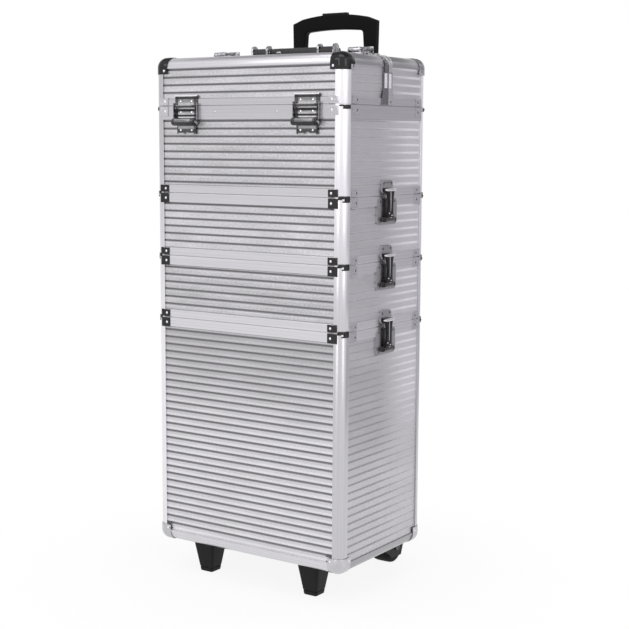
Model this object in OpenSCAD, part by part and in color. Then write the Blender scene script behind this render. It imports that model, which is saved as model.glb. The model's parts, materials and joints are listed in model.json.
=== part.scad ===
// Rolling makeup case: a tall base and two shallow tiers under a top case with a split lid
// Millimetres, Z up, floor at Z = 0, front toward -Y, origin under the middle of the footprint

/* [Case] */
// Width of the case across its frame
case_w = 360; // [340:5:400]
// Depth of the case across its frame
case_d = 240; // [230:5:260]
// Height of the base tier
base_h = 371; // [340:1:400]
// Height of each middle tier
tier_h = 100; // [90:1:120]
// Height of the top case below its lid
top_h = 136; // [130:1:150]
// Height of the split lid
lid_h = 75; // [75:1:85]
// Height of the case bottom above the floor
ground_gap = 52; // [52:1:60]

/* [Frame] */
// Outer radius of the rounded frame edges
edge_r = 15; // [14:0.5:17]
// Thickness of the frame lip that stands over a panel
lip_t = 2; // [1.5:0.1:2.4]
// Reach of a frame lip past its rounded edge
lip_over = 2; // [1:0.5:3]
// Thickness of a wall panel
panel_t = 4; // [3:0.5:5]
// Height of the rim strip below a tier seam
rim_top_h = 15; // [13:0.5:17]
// Height of the rim strip above a tier seam
rim_low_h = 12.5; // [12:0.5:14]
// Height of the rim strip of the lid
lid_rim_h = 10.5; // [9:0.5:12]
// Height of the rim strip of the top case under the lid
top_rim_h = 21.5; // [20:0.5:23]
// Width of the frame strips along the lid split
split_w = 12; // [10:0.5:14]
// Gap between the two lid halves
split_gap = 0.8; // [0.6:0.1:1.2]
// Chamfer of a rim at a seam
seam_c = 0.8; // [0.5:0.1:1.2]
// Thickness of the rim web over a panel edge
cap_t = 1.6; // [1.2:0.1:2]
// Height of the locating tongue above a rim
tongue_h = 5; // [4:0.5:5.5]
// Thickness of the locating tongue
tongue_t = 2; // [1.5:0.1:2.4]
// Thickness of a tier floor
floor_t = 3; // [2.5:0.5:4]
// Gap between a locating tongue and the tier floor above it
floor_gap = 1; // [0.5:0.1:2]

/* [Ribs] */
// Spacing of the panel grooves
rib_pitch = 11.9; // [10:0.1:14]
// Width of a panel groove
groove_w = 2.2; // [1:0.1:2.4]
// Depth of a panel groove
groove_d = 0.9; // [0.5:0.1:1.2]
// Distance of the uppermost groove from the rim over it
groove_edge = 2; // [1.5:0.1:4]
// The same for the lower middle tier
lower_groove = 3.8; // [1.5:0.1:5]
// The same for the tall base walls
base_groove = 5.5; // [3:0.1:7]
// Distance of the first roof groove from the strip along the lid split
roof_groove = 9.3; // [6:0.1:11]
// Least distance of the lowest groove from the rim under it
groove_low = 4; // [3:0.1:4.5]

/* [Brackets] */
// Thickness of bracket and cap sheet
sheet_t = 1.2; // [1:0.1:1.6]
// Length of a front tab along its rim
tab_l = 12.5; // [11:0.5:13.5]
// Angle by which a front tab wraps onto the corner post
tab_wrap = 16; // [10:1:20]
// Length of a side tab along its rim
side_tab_l = 17; // [14:0.5:19]
// Distance of a side tab from the corner post
side_tab_in = 4.5; // [4:0.5:6]
// Height of a tab above its seam
tab_up_h = 11; // [9:0.5:11.5]
// Height of a tab below its seam
tab_low_h = 15; // [12:0.5:16]
// Distance of a rivet from the free end of its tab
tab_rivet = 5.5; // [4:0.5:6]
// Angle covered by the band plate on a corner post
band_angle = 49; // [40:1:55]
// Height of the band plate below its seam
band_h = 7; // [5:0.5:8]
// Reach of the band above its seam
band_over = 2; // [1:0.5:2.5]
// Reach of the band past the corner post
band_end = 3; // [2:0.5:3.5]
// Height of the neck between the front tab and the band
neck_h = 3; // [2.5:0.5:4]
// Angle kept free between the band and the tab above it
wrap_gap = 3; // [2:0.5:5]
// Distance of a bracket from its seam
tab_gap = 1; // [0.8:0.1:1.2]
// Reach of a corner cap along each frame edge
cap_reach = 10.5; // [8:0.5:12]
// Radius of a rivet head
rivet_r = 2.2; // [1.8:0.1:2.4]
// Height of a rivet head
rivet_h = 1.1; // [0.8:0.1:1.3]
// Distance between a rivet head and the edge of its plate
rivet_in = 2.5; // [1.5:0.1:3]
// Depth of a rivet head in a rounded face
rivet_sink = 0.2; // [0.1:0.05:0.3]
// Distance of each rim rivet from the middle of the case
rim_rivet_x = 59; // [50:1:70]
// Depth of the rim rivets below the lid seam
rim_rivet_drop = 10; // [8:0.5:12]
// Height of the bracket at the foot of the lid split
split_tab_h = 25; // [20:1:28]
// Reach of that bracket past the split strip
split_tab_out = 8; // [4:1:10]

/* [Lid hinges] */
// Distance of the middle of each hinge from the case side
hinge_edge = 65.5; // [60:0.5:75]
// Width of a lid leaf
leaf_w = 44.6; // [42:0.2:48]
// Thickness of the leaves
leaf_t = 1.5; // [1.3:0.1:1.7]
// Height of a lid leaf above the seam
leaf_up = 16; // [15:0.5:18]
// Reach of a body leaf below the seam
leaf_down = 44; // [42:0.5:48]
// Depth of the hinge axis below the seam
hinge_drop = 25; // [24:0.5:27]
// Stand-off of the hinge axis from the frame face
hinge_out = 6.5; // [6.3:0.1:7]
// Radius of the hinge barrel
barrel_r = 6; // [5.6:0.1:6.2]
// Radius of a hinge pin
pin_r = 2; // [1.8:0.1:2.4]
// Thickness of a hinge cheek
cheek_t = 1.7; // [1.5:0.1:2]
// Height of a hinge cheek above the seam
cheek_up = 4; // [3:0.5:6]
// Setback of a body leaf from each end of its barrel
leaf_side = 1.5; // [1:0.1:2]
// Distance of the leaves from the lid seam
leaf_gap = 1; // [0.8:0.1:1.4]
// Distance of a body leaf below the seam
leaf_low = 5; // [4.5:0.1:6]
// Height of the bridge that closes the hinge window
bridge_h = 4; // [3.5:0.1:5]
// Reach of that bridge below the seam
bridge_low = 3; // [2.5:0.1:3.5]
// Thickness of that bridge
bridge_t = 2; // [1.6:0.1:2.4]
// Height of the web under a hinge barrel
web_h = 5; // [4:0.1:5.5]
// Radius of the scallop at the foot of a body leaf
scallop_r = 6; // [4:0.5:7]
// Distance of the scallop middle below that foot
scallop_low = 2; // [1:0.5:3]
// Distance of hinge rivets from the middle of a leaf
leaf_rivet_x = 11; // [9:0.5:12]
// Distance of the upper body rivets below the seam
leaf_rivet_low = 10; // [9:0.5:12]
// Distance of the lower body rivets from the foot
leaf_rivet_foot = 6.4; // [5:0.2:7]
// Distance of the lid rivets above the seam
leaf_rivet_up = 6.5; // [5:0.5:8]
// Reach of a hinge pin past its cheeks
pin_over = 0.8; // [0.5:0.1:1]

/* [Latches] */
// Width of a side latch plate
side_plate_w = 56; // [52:1:60]
// Length of a side latch base
side_base_l = 40; // [38:0.5:42]
// Width of a side latch strike
side_strike_w = 31; // [28:1:34]
// Length of a side latch strike
side_strike_l = 20; // [18:0.5:22]
// Width of a side latch lever
side_lever_w = 25; // [23:0.5:26]
// Distance of a side lever pivot from the foot of its base
side_pivot_up = 8; // [7:0.5:10]
// Distance of the middle of each top latch from the case side
top_latch_edge = 50.5; // [48:0.5:56]
// Width of a top latch plate
top_plate_w = 32; // [30:0.5:34]
// Length of a top latch base
top_base_l = 18; // [17:0.5:20]
// Length of a top latch strike
top_strike_l = 32; // [30:0.5:36]
// Width of a top latch lever
top_lever_w = 20; // [18:0.5:21]
// Distance of a top lever pivot from the foot of its base
top_pivot_up = 8; // [7:0.5:9]
// Reach of a top latch hook past the place of a side latch hook
top_reach = 12; // [10:0.5:14]
// Height of the blocks under the top latches
top_rise = 4; // [3:0.5:5]
// Distance of a latch plate from its seam
latch_gap = 4; // [3.5:0.1:4.5]
// Corner cut of a latch plate
plate_c = 4; // [2:0.5:5]
// Thickness of a latch plate
plate_t = 1.4; // [1.2:0.1:1.5]
// Stand-off of a lever pivot from the frame face
pivot_out = 5.8; // [5.6:0.1:6.2]
// Radius of a lever barrel
lever_r = 3.8; // [3.5:0.1:3.9]
// Radius of a lever pivot pin
lever_pin_r = 1.8; // [1.6:0.1:2]
// Stand-off of the inner face of a lever
lever_in = 4.8; // [4.7:0.1:5]
// Thickness of a lever
lever_t = 2.4; // [2.2:0.1:2.8]
// Stand-off of the strike lip
lip_out = 4; // [3.8:0.1:4.2]
// Distance of the strike lip from the edge of its plate
lip_in = 1; // [0.8:0.1:1.2]
// Thickness of the strike lip
strike_lip_t = 2; // [1.8:0.1:2.2]
// Bite of the lever hook behind the strike lip
hook_bite = 2; // [1.6:0.1:2]
// Free play of the hook before it meets the lip
hook_gap = 2.2; // [2.1:0.1:2.6]
// Thickness of the lever hook
hook_t = 2.5; // [2.2:0.1:2.8]

/* [Carry handle] */
// Distance of each handle bracket from the middle of the case
bail_x = 64; // [58:1:70]
// Distance of the handle pivot behind the lid split
bail_y = 9.5; // [9:0.5:11]
// Height of the handle pivot above the lid
bail_z = 11; // [10.5:0.5:12]
// Gap between the two ears of a bracket
bail_gap = 25.5; // [24:0.5:28]
// Thickness of a bracket ear
ear_t = 3.5; // [3:0.1:4]
// Radius of a bracket ear
ear_r = 7.5; // [7:0.1:8]
// Reach of the bracket ears above the handle pivot
ear_up = 4; // [2:0.5:5]
// Length of the handle arms
bail_l = 30; // [28:1:36]
// Width of a handle arm
bail_arm = 11; // [9:0.5:14]
// Radius of the handle grip
grip_r = 9; // [8:0.2:9.4]
// Radius of the handle pivot pins
bail_pin_r = 2.5; // [2:0.1:2.8]
// Setback of the handle arms from the bracket ears
bail_set = 2; // [1.5:0.5:3]
// Reach of a bracket plate past its ears and off the split
bail_edge = 1; // [0.8:0.1:1.5]

/* [Trolley] */
// Distance of each trolley tube from the middle of the case
tube_x = 70.5; // [68:0.5:74]
// Width of an outer tube
tube_w = 22; // [21:0.5:24]
// Depth of an outer tube
tube_d = 14; // [13.5:0.5:15]
// Wall thickness of the tubes
tube_wall = 1.3; // [1.2:0.1:1.4]
// Free play between sliding tubes on each side
tube_fit = 0.3; // [0.25:0.05:0.4]
// Gap between the case and the outer tubes
tube_gap = 1; // [1:0.5:3]
// Length of each middle and inner tube inside its next tube at rest
tube_overlap = 148; // [146:1:152]
// Height of the trolley grip top above the lid
grip_rise = 79; // [76:1:90]
// Half width of the trolley grip at its shoulders
grip_half = 82; // [81:0.5:84]
// Width of a grip leg at its foot
leg_w = 19; // [18.8:0.1:20]
// Width of a grip leg at the finger gap
leg_top_w = 23; // [21:0.5:25]
// Thickness of the grip bar between top and finger gap
grip_bar = 25; // [23:0.5:27]
// Length of a grip leg below the finger gap
leg_l = 66; // [60:1:76]
// Width of the sloped grip shoulder
shoulder_w = 19; // [16:0.5:24]
// Height of the sloped grip shoulder
shoulder_h = 7; // [6:0.5:11]
// Rise of the grip between its shoulders
grip_arch = 6; // [4:0.5:7]
// Rise of the top of the finger gap
gap_arch = 2.5; // [2:0.5:4]
// Corner radius of the finger gap
gap_r = 6; // [4:0.5:8]
// Length of the push button
button_l = 48; // [46:1:56]
// Width of the push button
button_w = 8; // [7:0.5:9]
// Height of the push button above the grip
button_up = 2.4; // [2.2:0.1:4]
// Travel of the push button
button_travel = 2; // [1.5:0.1:2.2]
// Depth of the push button seat below the grip at rest
button_seat = 4.5; // [4.3:0.1:5]
// Free play under the pressed button
button_play = 1; // [0.5:0.1:1.5]
// Distance of the outer tubes above the case bottom
tube_up = 10; // [8:1:14]
// Distance of the outer tubes below the first seam
tube_drop = 7; // [6:1:10]
// Distance of the lower clamps above the tube ends
clamp_low = 12; // [8:1:20]
// Distance of the upper clamps below the rim
clamp_drop = 4; // [2:0.5:8]
// Height of a tube clamp
clamp_h = 26; // [22:1:30]
// Wall of a tube clamp
clamp_wall = 2.5; // [2:0.1:3]

/* [Feet and wheels] */
// Distance of the middle of a foot from the case side
foot_edge = 76.5; // [65:0.5:85]
// Distance of the middle of a foot from the case front
foot_in = 40.5; // [36:0.5:44]
// Width of a foot at its top
foot_top = 42; // [36:0.5:43]
// Width of a foot on the floor
foot_low = 24; // [21:0.5:27]
// Radius of a wheel
wheel_r = 28; // [26:0.5:28]
// Width of a wheel
wheel_w = 31; // [24:0.5:32]
// Distance of the middle of a wheel from the case side
wheel_edge = 70.5; // [68:0.5:76]
// Distance of the wheel axle behind the rear face
wheel_out = 9.5; // [9.5:0.5:13]
// Radius of the tyre seat on a wheel hub
hub_r = 18; // [17:0.5:19]
// Radius of a wheel axle
axle_r = 4; // [3.5:0.1:4.5]
// Radius of the caps on an axle
axle_cap_r = 6.4; // [5.5:0.1:7]
// Thickness of the caps on an axle
axle_cap_t = 2; // [1.5:0.1:3]
// Depth of the dish in a wheel hub
hub_dish = 4; // [3:0.5:5]
// Width of the hub lip under the tyre
hub_lip = 2; // [1.5:0.5:3]
// Setback of the hub and tyre seat from the wheel sides
hub_set = 1; // [0.5:0.1:1.5]
// Reach of the hub boss past the wheel sides
hub_boss = 0.5; // [0.3:0.1:0.6]
// Height of the tyre shoulder
tyre_edge = 3.5; // [3:0.5:5]
// Width of the tyre shoulder
tyre_round = 5; // [4:0.5:7]
// Thickness of a housing cheek
housing_t = 4; // [3:0.1:4.2]
// Thickness of the housing arch over a wheel
arch_t = 1.6; // [1.2:0.1:1.8]
// Reach of a housing under the case
housing_in = 44; // [40:1:50]
// Height of a housing at its inner end
housing_low = 8; // [6:0.5:10]
// Length of the housing pad under the case
housing_pad = 28; // [24:1:28]
// Half width of a housing cheek below the axle
boss_half = 14; // [9:0.5:15]
// Reach of a housing cheek below the axle
boss_drop = 17; // [12:0.5:18]
// Free play beside and above a wheel
wheel_gap = 1; // [0.9:0.1:1.2]

/* [Trays] */
// Gap between a tray end and the case wall
tray_gap = 11; // [10.5:0.5:14]
// Distance of the tray front from the case front
tray_in = 14; // [14:0.5:18]
// Distance of a tray from the lid split
tray_split = 6; // [5:0.5:8]
// Height of the lower tray floor above the lid seam
tray_low = 10; // [10:0.5:11]
// Height of the lower tray
tray_low_h = 22; // [20:0.5:22]
// Height of the upper tray floor above the lid seam
tray_up = 36; // [36:0.5:37]
// Height of the upper tray
tray_up_h = 17; // [16:0.5:17]
// Wall thickness of a tray
tray_t = 2; // [1.6:0.1:2.4]
// Depth of the arm pivots below the lid seam
arm_drop = 15; // [14:0.5:16]
// Distance of the first arm pivot from the case front
arm_in = 36; // [36:0.5:40]
// Distance between the two arms of a side
arm_pitch = 24; // [22:0.5:25]
// Distance of the last folded arm stud from the rear edge of its tray
arm_end = 5.3; // [5:0.1:7]
// Gap between a tray end and its arms
arm_gap = 1.5; // [1.3:0.1:2]
// Reach of an arm eye past the arm edge
eye_over = 0.5; // [0.3:0.1:0.8]
// Width of an arm
arm_w = 10; // [9:0.5:11]
// Thickness of an arm
arm_t = 2.5; // [2:0.1:3]
// Height of the tray studs above a tray floor
stud_up = 7; // [6.5:0.5:8]
// Radius of the tray studs
stud_r = 2.2; // [2:0.1:2.5]

/* [Fits] */
// Clearance between fixed neighbouring pieces
fit = 0.4; // [0.3:0.05:0.5]
// Gap that parts one frame member from the next
member_gap = 0.1; // [0.05:0.05:0.2]
// Radial clearance of a turning pin
pin_fit = 0.08; // [0.05:0.01:0.1]

/* [Hidden] */
$fn = 48;
over = 1;
ear_set = 0.3;
wall_t = lip_t + panel_t;
half_w = case_w / 2;
half_d = case_d / 2;
core_w = case_w - 2 * edge_r;
core_d = case_d - 2 * edge_r;
rim_w = core_w - 2 * lip_over - 2 * member_gap;
rim_d = core_d - 2 * lip_over - 2 * member_gap;
lip_end = edge_r + lip_over;
base_z = ground_gap;
low_z = base_z + base_h;
up_z = low_z + tier_h;
top_z = up_z + tier_h;
lid_z = top_z + top_h;
roof_z = lid_z + lid_h;
split_half = split_gap / 2;
floor_up = tongue_h + floor_gap;
wheel_y = half_d + wheel_out;
front_reach = half_d + hinge_out + barrel_r;
rear_reach = wheel_y + wheel_r;
mid_y = (rear_reach - front_reach) / 2;
corners = [[1, 1, 0, false], [-1, 1, 90, true], [-1, -1, 180, false], [1, -1, 270, true]];
hinge_x = half_w - hinge_edge;
top_latch_x = half_w - top_latch_edge;
foot_x = half_w - foot_edge;
foot_y = half_d - foot_in;
wheel_x = half_w - wheel_edge;
hook_in = lip_out - hook_bite;
hook_w = latch_gap + lip_in + strike_lip_t + hook_gap;
side_pivot = -(latch_gap + side_base_l - side_pivot_up);
top_pivot = -(latch_gap + top_base_l - top_pivot_up);
tube_y = half_d + tube_gap + tube_d / 2;
mid_tube_w = tube_w - 2 * tube_wall - 2 * tube_fit;
mid_tube_d = tube_d - 2 * tube_wall - 2 * tube_fit;
in_tube_w = mid_tube_w - 2 * tube_wall - 2 * tube_fit;
in_tube_d = mid_tube_d - 2 * tube_wall - 2 * tube_fit;
grip_z = roof_z + grip_rise;
grip_low = grip_z - grip_bar - leg_l;
tube_low = base_z + tube_up;
tube_top = low_z - tube_drop;
stage = (grip_low - tube_top) / 2;
mid_top = tube_top + stage;
mid_low = tube_top - tube_overlap;
in_low = mid_top - tube_overlap;
in_top = grip_low + leg_l / 2;
button_deep = button_seat + button_travel + button_play;
arm_z = lid_z - arm_drop;
arm_y = -half_d + arm_in;
arm_rise_1 = tray_low + stud_up + arm_drop;
arm_rise_2 = tray_up + stud_up + arm_drop;
arm_lean = atan((half_d - tray_split - arm_end - arm_in - arm_pitch) / arm_rise_2);
arm_1 = arm_rise_1 / cos(arm_lean);
arm_2 = arm_rise_2 / cos(arm_lean);
tray_x = half_w - wall_t - tray_gap;
arm_in_x = tray_x + arm_gap;
tray_y0 = -half_d + tray_in;
boss_r = 2 * stud_r;
dome_r = (rivet_r * rivet_r + rivet_h * rivet_h) / (2 * rivet_h);

// Placement helpers

module placed() translate([0, -mid_y, 0]) children();

// A 2D outline in Y and Z, drawn along X about the middle
module along_x(len) translate([-len / 2, 0, 0]) rotate([90, 0, 90]) linear_extrude(len) children();

// A 2D outline in X and Z, drawn along Y from y0 to y1
module along_y(y0, y1) translate([0, y1, 0]) rotate([90, 0, 0]) linear_extrude(y1 - y0) children();

module both_ends() for (a = [0, 180]) rotate([0, 0, a]) children();

module at_corners(list) for (c = list)
  translate([c[0] * (half_w - edge_r), c[1] * (half_d - edge_r), 0]) rotate([0, 0, c[2]]) children();

// The same with Y of each corner turned to the front or the rear of the case
module at_brackets(list) for (c = list) at_corners([c])
  if (c[3]) mirror([1, -1, 0]) children();
  else children();

// Faces: X along the face, -Y outward, Z up
module on_front(x, z) translate([x, -half_d, z]) children();
module on_right(z) translate([half_w, 0, z]) rotate([0, 0, 90]) children();
module on_left(z) translate([-half_w, 0, z]) rotate([0, 0, -90]) children();
module on_sides(z) {
  on_right(z) children();
  on_left(z) children();
}
// On the lid roof Z of the face runs rearward from the split
module on_roof(x) translate([x, 0, roof_z + top_rise]) rotate([-90, 0, 0]) children();

// Shared shapes

// Quarter ring of the rounded frame extrusion
module ring(r_out, r_in) intersection() {
  difference() {
    circle(r_out);
    circle(r_in);
  }
  square(r_out + over);
}

module edge_section() {
  ring(edge_r, edge_r - wall_t);
  translate([-lip_over, edge_r - lip_t]) square([lip_over, lip_t]);
  translate([edge_r - lip_t, -lip_over]) square([lip_t, lip_over]);
}

module post(z0, z1) translate([0, 0, z0]) linear_extrude(z1 - z0) edge_section();

module ball(r_out, r_in) rotate_extrude(angle = 90) ring(r_out, r_in);

// Groove places between the rims at a and b, counted from b and given in rising order
function ribs(a, b, edge) = let (n = floor((b - a - edge - groove_low) / rib_pitch))
  [for (i = [n : -1 : 0]) b - edge - i * rib_pitch];

// Grooved panel outline: depth inward from the outer face, then position along the panel
function panel_outline(b0, b1, e0, e1, edge) = concat(
  [[panel_t, b0], [0, b0]],
  [for (z = ribs(e0, e1, edge)) each [[0, z - groove_w / 2], [groove_d, z], [0, z + groove_w / 2]]],
  [[0, b1], [panel_t, b1]]);

function rim_top(h) = [
  [0, -h], [0, -seam_c], [seam_c, 0], [wall_t + fit, 0], [wall_t + fit, tongue_h],
  [wall_t + fit + tongue_t, tongue_h], [wall_t + fit + tongue_t, -tongue_h], [wall_t, -tongue_h],
  [wall_t, -cap_t], [lip_t, -cap_t], [lip_t, -h]];

function rim_low(h) = [
  [0, h], [0, seam_c], [seam_c, 0], [wall_t, 0], [wall_t, cap_t], [lip_t, cap_t], [lip_t, h]];

module front_outline(pts, inset, z) polygon([for (p = pts) [p[0] + inset - half_d, p[1] + z]]);
module side_outline(pts, inset, z) polygon([for (p = pts) [half_w - inset - p[0], p[1] + z]]);

module four_walls(b0, b1, e0, e1, edge) {
  pts = panel_outline(b0, b1, e0, e1, edge);
  both_ends() along_x(core_w) front_outline(pts, lip_t, 0);
  both_ends() along_y(-core_d / 2, core_d / 2) side_outline(pts, lip_t, 0);
}

module four_rims(pts, z) {
  both_ends() along_x(rim_w) front_outline(pts, 0, z);
  both_ends() along_y(-rim_d / 2, rim_d / 2) side_outline(pts, 0, z);
}

module tier_floor(z) {
  a = half_w - wall_t - member_gap;
  b = half_d - wall_t - member_gap;
  c = edge_r - wall_t;
  translate([0, 0, z]) linear_extrude(floor_t) polygon([
    [a, b - c], [a - c, b], [c - a, b], [-a, b - c], [-a, c - b], [c - a, -b], [a - c, -b], [a, c - b]]);
}

module tier_panels(z, h, edge) {
  four_walls(z + cap_t, z + h - cap_t, z + rim_low_h, z + h - rim_top_h, edge);
  tier_floor(z + floor_up);
}

module tier_frame(z, h) {
  at_corners(corners) post(z + member_gap, z + h - member_gap);
  four_rims(rim_low(rim_low_h), z);
  four_rims(rim_top(rim_top_h), z + h);
}

// Domed rivet head on a face, standing outward from it
module rivet(x, z, out) translate([x, -out, z]) rotate([90, 0, 0]) rotate_extrude()
  intersection() {
    translate([0, rivet_h - dome_r]) circle(dome_r);
    square([rivet_r + over, rivet_h + over]);
  }

// Sheet round the corner post from angle a0 to a1, at a gap from it, with a flat end on the side
module strap(a0, a1, end, gap) {
  far = 2 * edge_r;
  intersection() {
    ring(edge_r + sheet_t, edge_r + gap);
    polygon([[0, 0], [far * cos(a0), far * sin(a0)], [far * cos(a1), far * sin(a1)]]);
  }
  if (end > 0) translate([edge_r + gap, -end]) square([sheet_t - gap, end]);
}

// Corner bracket below a seam: two tabs, a band plate on the post and a neck between them
module low_bracket(z, reach) {
  wrap = 90 - tab_wrap;
  top = min(reach, 0);
  tab_pair(z - tab_gap - tab_low_h, tab_low_h);
  translate([0, 0, z - band_h]) linear_extrude(band_h + top) strap(0, band_angle, side_tab_in, 0);
  translate([0, 0, z - neck_h]) linear_extrude(neck_h + top) strap(0, wrap, 0, 0);
  if (reach > 0) translate([0, 0, z]) linear_extrude(reach) strap(0, wrap - wrap_gap, band_end, fit);
  rotate([0, 0, 90 + band_angle / 2]) rivet(0, z - band_h / 2, edge_r + sheet_t - rivet_sink);
}

// Two riveted tabs at a corner: the front one wraps onto the post, the side one stands off it
module tab_pair(z, h) {
  translate([0, 0, z]) linear_extrude(h) {
    translate([-tab_l, edge_r]) square([tab_l, sheet_t]);
    strap(90 - tab_wrap, 90, 0, 0);
    translate([edge_r, -side_tab_in - side_tab_l]) square([sheet_t, side_tab_l]);
  }
  translate([tab_rivet - tab_l, edge_r, z + h / 2]) rotate([0, 0, 180]) rivet(0, 0, sheet_t);
  translate([edge_r, tab_rivet - side_tab_in - side_tab_l, z + h / 2]) rotate([0, 0, 90])
    rivet(0, 0, sheet_t);
}

// Ball cap over an upper frame corner
module corner_cap() {
  r = edge_r + sheet_t;
  ball(r, edge_r);
  translate([0, 0, -cap_reach]) linear_extrude(cap_reach) ring(r, edge_r);
  rotate([90, 0, 0]) linear_extrude(cap_reach) ring(r, edge_r);
  rotate([90, 0, -90]) mirror([1, 0, 0]) linear_extrude(cap_reach) ring(r, edge_r);
  translate([-cap_reach, -cap_reach, edge_r]) cube([cap_reach, cap_reach, sheet_t]);
  translate([-cap_reach, edge_r, -cap_reach]) cube([cap_reach, sheet_t, cap_reach]);
  translate([edge_r, -cap_reach, -cap_reach]) cube([sheet_t, cap_reach, cap_reach]);
  translate([-cap_reach / 2, edge_r, -cap_reach / 2]) rotate([0, 0, 180]) rivet(0, 0, sheet_t);
  translate([edge_r, -cap_reach / 2, -cap_reach / 2]) rotate([0, 0, 90]) rivet(0, 0, sheet_t);
}

// Latches, on a face with the seam at Z = 0

// Plate with cut corners on a block of height rise, packed out to the panel past its rim strip
module packed_plate(w, z0, z1, strip, rise) {
  a = w / 2;
  b = a - plate_c;
  outline = [[a, z0 + plate_c], [a, z1 - plate_c], [b, z1], [-b, z1], [-a, z1 - plate_c], [-a, z0 + plate_c],
    [-b, z0], [b, z0]];
  along_y(-plate_t, rise) polygon(outline);
  intersection() {
    along_y(rise, rise + lip_t) polygon(outline);
    for (s = [0, 1]) mirror([0, 0, s]) translate([-w, rise - over, strip + member_gap])
      cube([2 * w, lip_t + 2 * over, w]);
  }
}

module latch_base(w, len, lever_w, pivot, strip, rise) {
  ear_w = lever_w / 2 + fit;
  difference() {
    union() {
      packed_plate(w, -latch_gap - len, -latch_gap, strip, rise);
      for (s = [-1, 1]) {
        translate([s * (ear_w + plate_t / 2) - plate_t / 2, -pivot_out, pivot - lever_r])
          cube([plate_t, pivot_out - plate_t, 2 * lever_r]);
        translate([s * (ear_w + plate_t / 2) - plate_t / 2, -pivot_out, pivot])
          rotate([0, 90, 0]) cylinder(h = plate_t, r = lever_r - ear_set);
      }
    }
    translate([-w, -pivot_out, pivot]) rotate([0, 90, 0])
      cylinder(h = 2 * w, r = lever_pin_r + member_gap / 2);
  }
  translate([-ear_w - 2 * plate_t, -pivot_out, pivot]) rotate([0, 90, 0])
    cylinder(h = 2 * ear_w + 4 * plate_t, r = lever_pin_r);
  for (s = [-1, 1]) {
    rivet(s * (w / 2 + ear_w + plate_t) / 2, -latch_gap - rivet_r - rivet_in, plate_t);
    rivet(s * (w / 2 + ear_w + plate_t) / 2, -latch_gap - len + rivet_r + rivet_in, plate_t);
  }
}

module latch_strike(w, len, strip, rise, reach) {
  packed_plate(w, latch_gap, latch_gap + len, strip, rise);
  translate([-w / 4, -lip_out, latch_gap + lip_in + reach])
    cube([w / 2, lip_out - plate_t, strike_lip_t]);
  for (s = [-1, 1]) rivet(s * (w / 2 - rivet_r - rivet_in), latch_gap + len - rivet_r - rivet_in, plate_t);
}

module latch_lever(w, pivot, reach) {
  hook_z = hook_w + reach;
  difference() {
    union() {
      translate([-w / 2, -lever_in - lever_t, pivot]) cube([w, lever_t, hook_z + hook_t - pivot]);
      translate([-w / 2, -lever_in - lever_t, hook_z]) cube([w, lever_in + lever_t - hook_in, hook_t]);
      translate([-w / 2, -pivot_out, pivot]) rotate([0, 90, 0]) cylinder(h = w, r = lever_r);
      translate([-w / 4, -lever_in - 2 * lever_t, pivot + 2 * lever_r])
        cube([w / 2, lever_t, hook_z - pivot - 2 * lever_r]);
      translate([-w / 2, -lever_in - 3 * lever_t, hook_z]) cube([w, 2 * lever_t, hook_t]);
    }
    translate([-w, -pivot_out, pivot]) rotate([0, 90, 0]) cylinder(h = 2 * w, r = lever_pin_r + pin_fit);
  }
}

module side_base(z) on_sides(z)
  latch_base(side_plate_w, side_base_l, side_lever_w, side_pivot, rim_top_h, 0);
module side_strike(z) on_sides(z) latch_strike(side_strike_w, side_strike_l, rim_low_h, 0, 0);
module side_lever() latch_lever(side_lever_w, side_pivot, 0);

// Stay hinges, on a face with the lid seam at Z = 0

module hinge_body_leaf() {
  w = leaf_w - 2 * cheek_t - 2 * fit;
  plate_w = w - 2 * leaf_side;
  difference() {
    union() {
      translate([-plate_w / 2, -leaf_t, -leaf_down]) cube([plate_w, leaf_t, leaf_down - leaf_low]);
      translate([-plate_w / 2, 0, -leaf_down])
        cube([plate_w, lip_t, leaf_down - top_rim_h - member_gap]);
      translate([-plate_w / 2, -hinge_out, -hinge_drop - web_h])
        cube([plate_w, hinge_out - leaf_t / 2, web_h]);
      translate([-w / 2, -hinge_out, -hinge_drop]) rotate([0, 90, 0]) cylinder(h = w, r = barrel_r);
    }
    translate([-leaf_w, -hinge_out, -hinge_drop]) rotate([0, 90, 0])
      cylinder(h = 2 * leaf_w, r = pin_r + member_gap / 2);
    translate([0, lip_t + over, -leaf_down - scallop_low]) rotate([90, 0, 0])
      cylinder(h = lip_t + leaf_t + 2 * over, r = scallop_r);
  }
  for (s = [-1, 1]) {
    rivet(s * leaf_rivet_x, -leaf_rivet_low, leaf_t);
    rivet(s * leaf_rivet_x, leaf_rivet_foot - leaf_down, leaf_t);
  }
}

module hinge_lid_leaf() {
  difference() {
    union() {
      translate([-leaf_w / 2, -leaf_t, leaf_gap]) cube([leaf_w, leaf_t, leaf_up - leaf_gap]);
      translate([-leaf_w / 2, 0, lid_rim_h + member_gap])
        cube([leaf_w, lip_t, leaf_up - lid_rim_h - member_gap]);
      translate([-leaf_w / 2, -hinge_out, -bridge_low]) cube([leaf_w, bridge_t, bridge_h]);
      translate([-leaf_w / 2, -2 * leaf_t, leaf_up - leaf_t]) cube([leaf_w, leaf_t, leaf_t]);
      for (s = [-1, 1]) {
        translate([s * (leaf_w - cheek_t) / 2 - cheek_t / 2, -hinge_out, -hinge_drop])
          cube([cheek_t, hinge_out - fit, hinge_drop + cheek_up]);
        translate([s * (leaf_w - cheek_t) / 2 - cheek_t / 2, -hinge_out, -hinge_drop])
          rotate([0, 90, 0]) cylinder(h = cheek_t, r = barrel_r - ear_set);
      }
    }
    translate([-leaf_w, -hinge_out, -hinge_drop]) rotate([0, 90, 0])
      cylinder(h = 2 * leaf_w, r = pin_r + pin_fit);
  }
  for (s = [-1, 1]) rivet(s * leaf_rivet_x, leaf_rivet_up, leaf_t);
}

module hinge_pair() for (s = [-1, 1]) on_front(s * hinge_x, lid_z) children();

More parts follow.
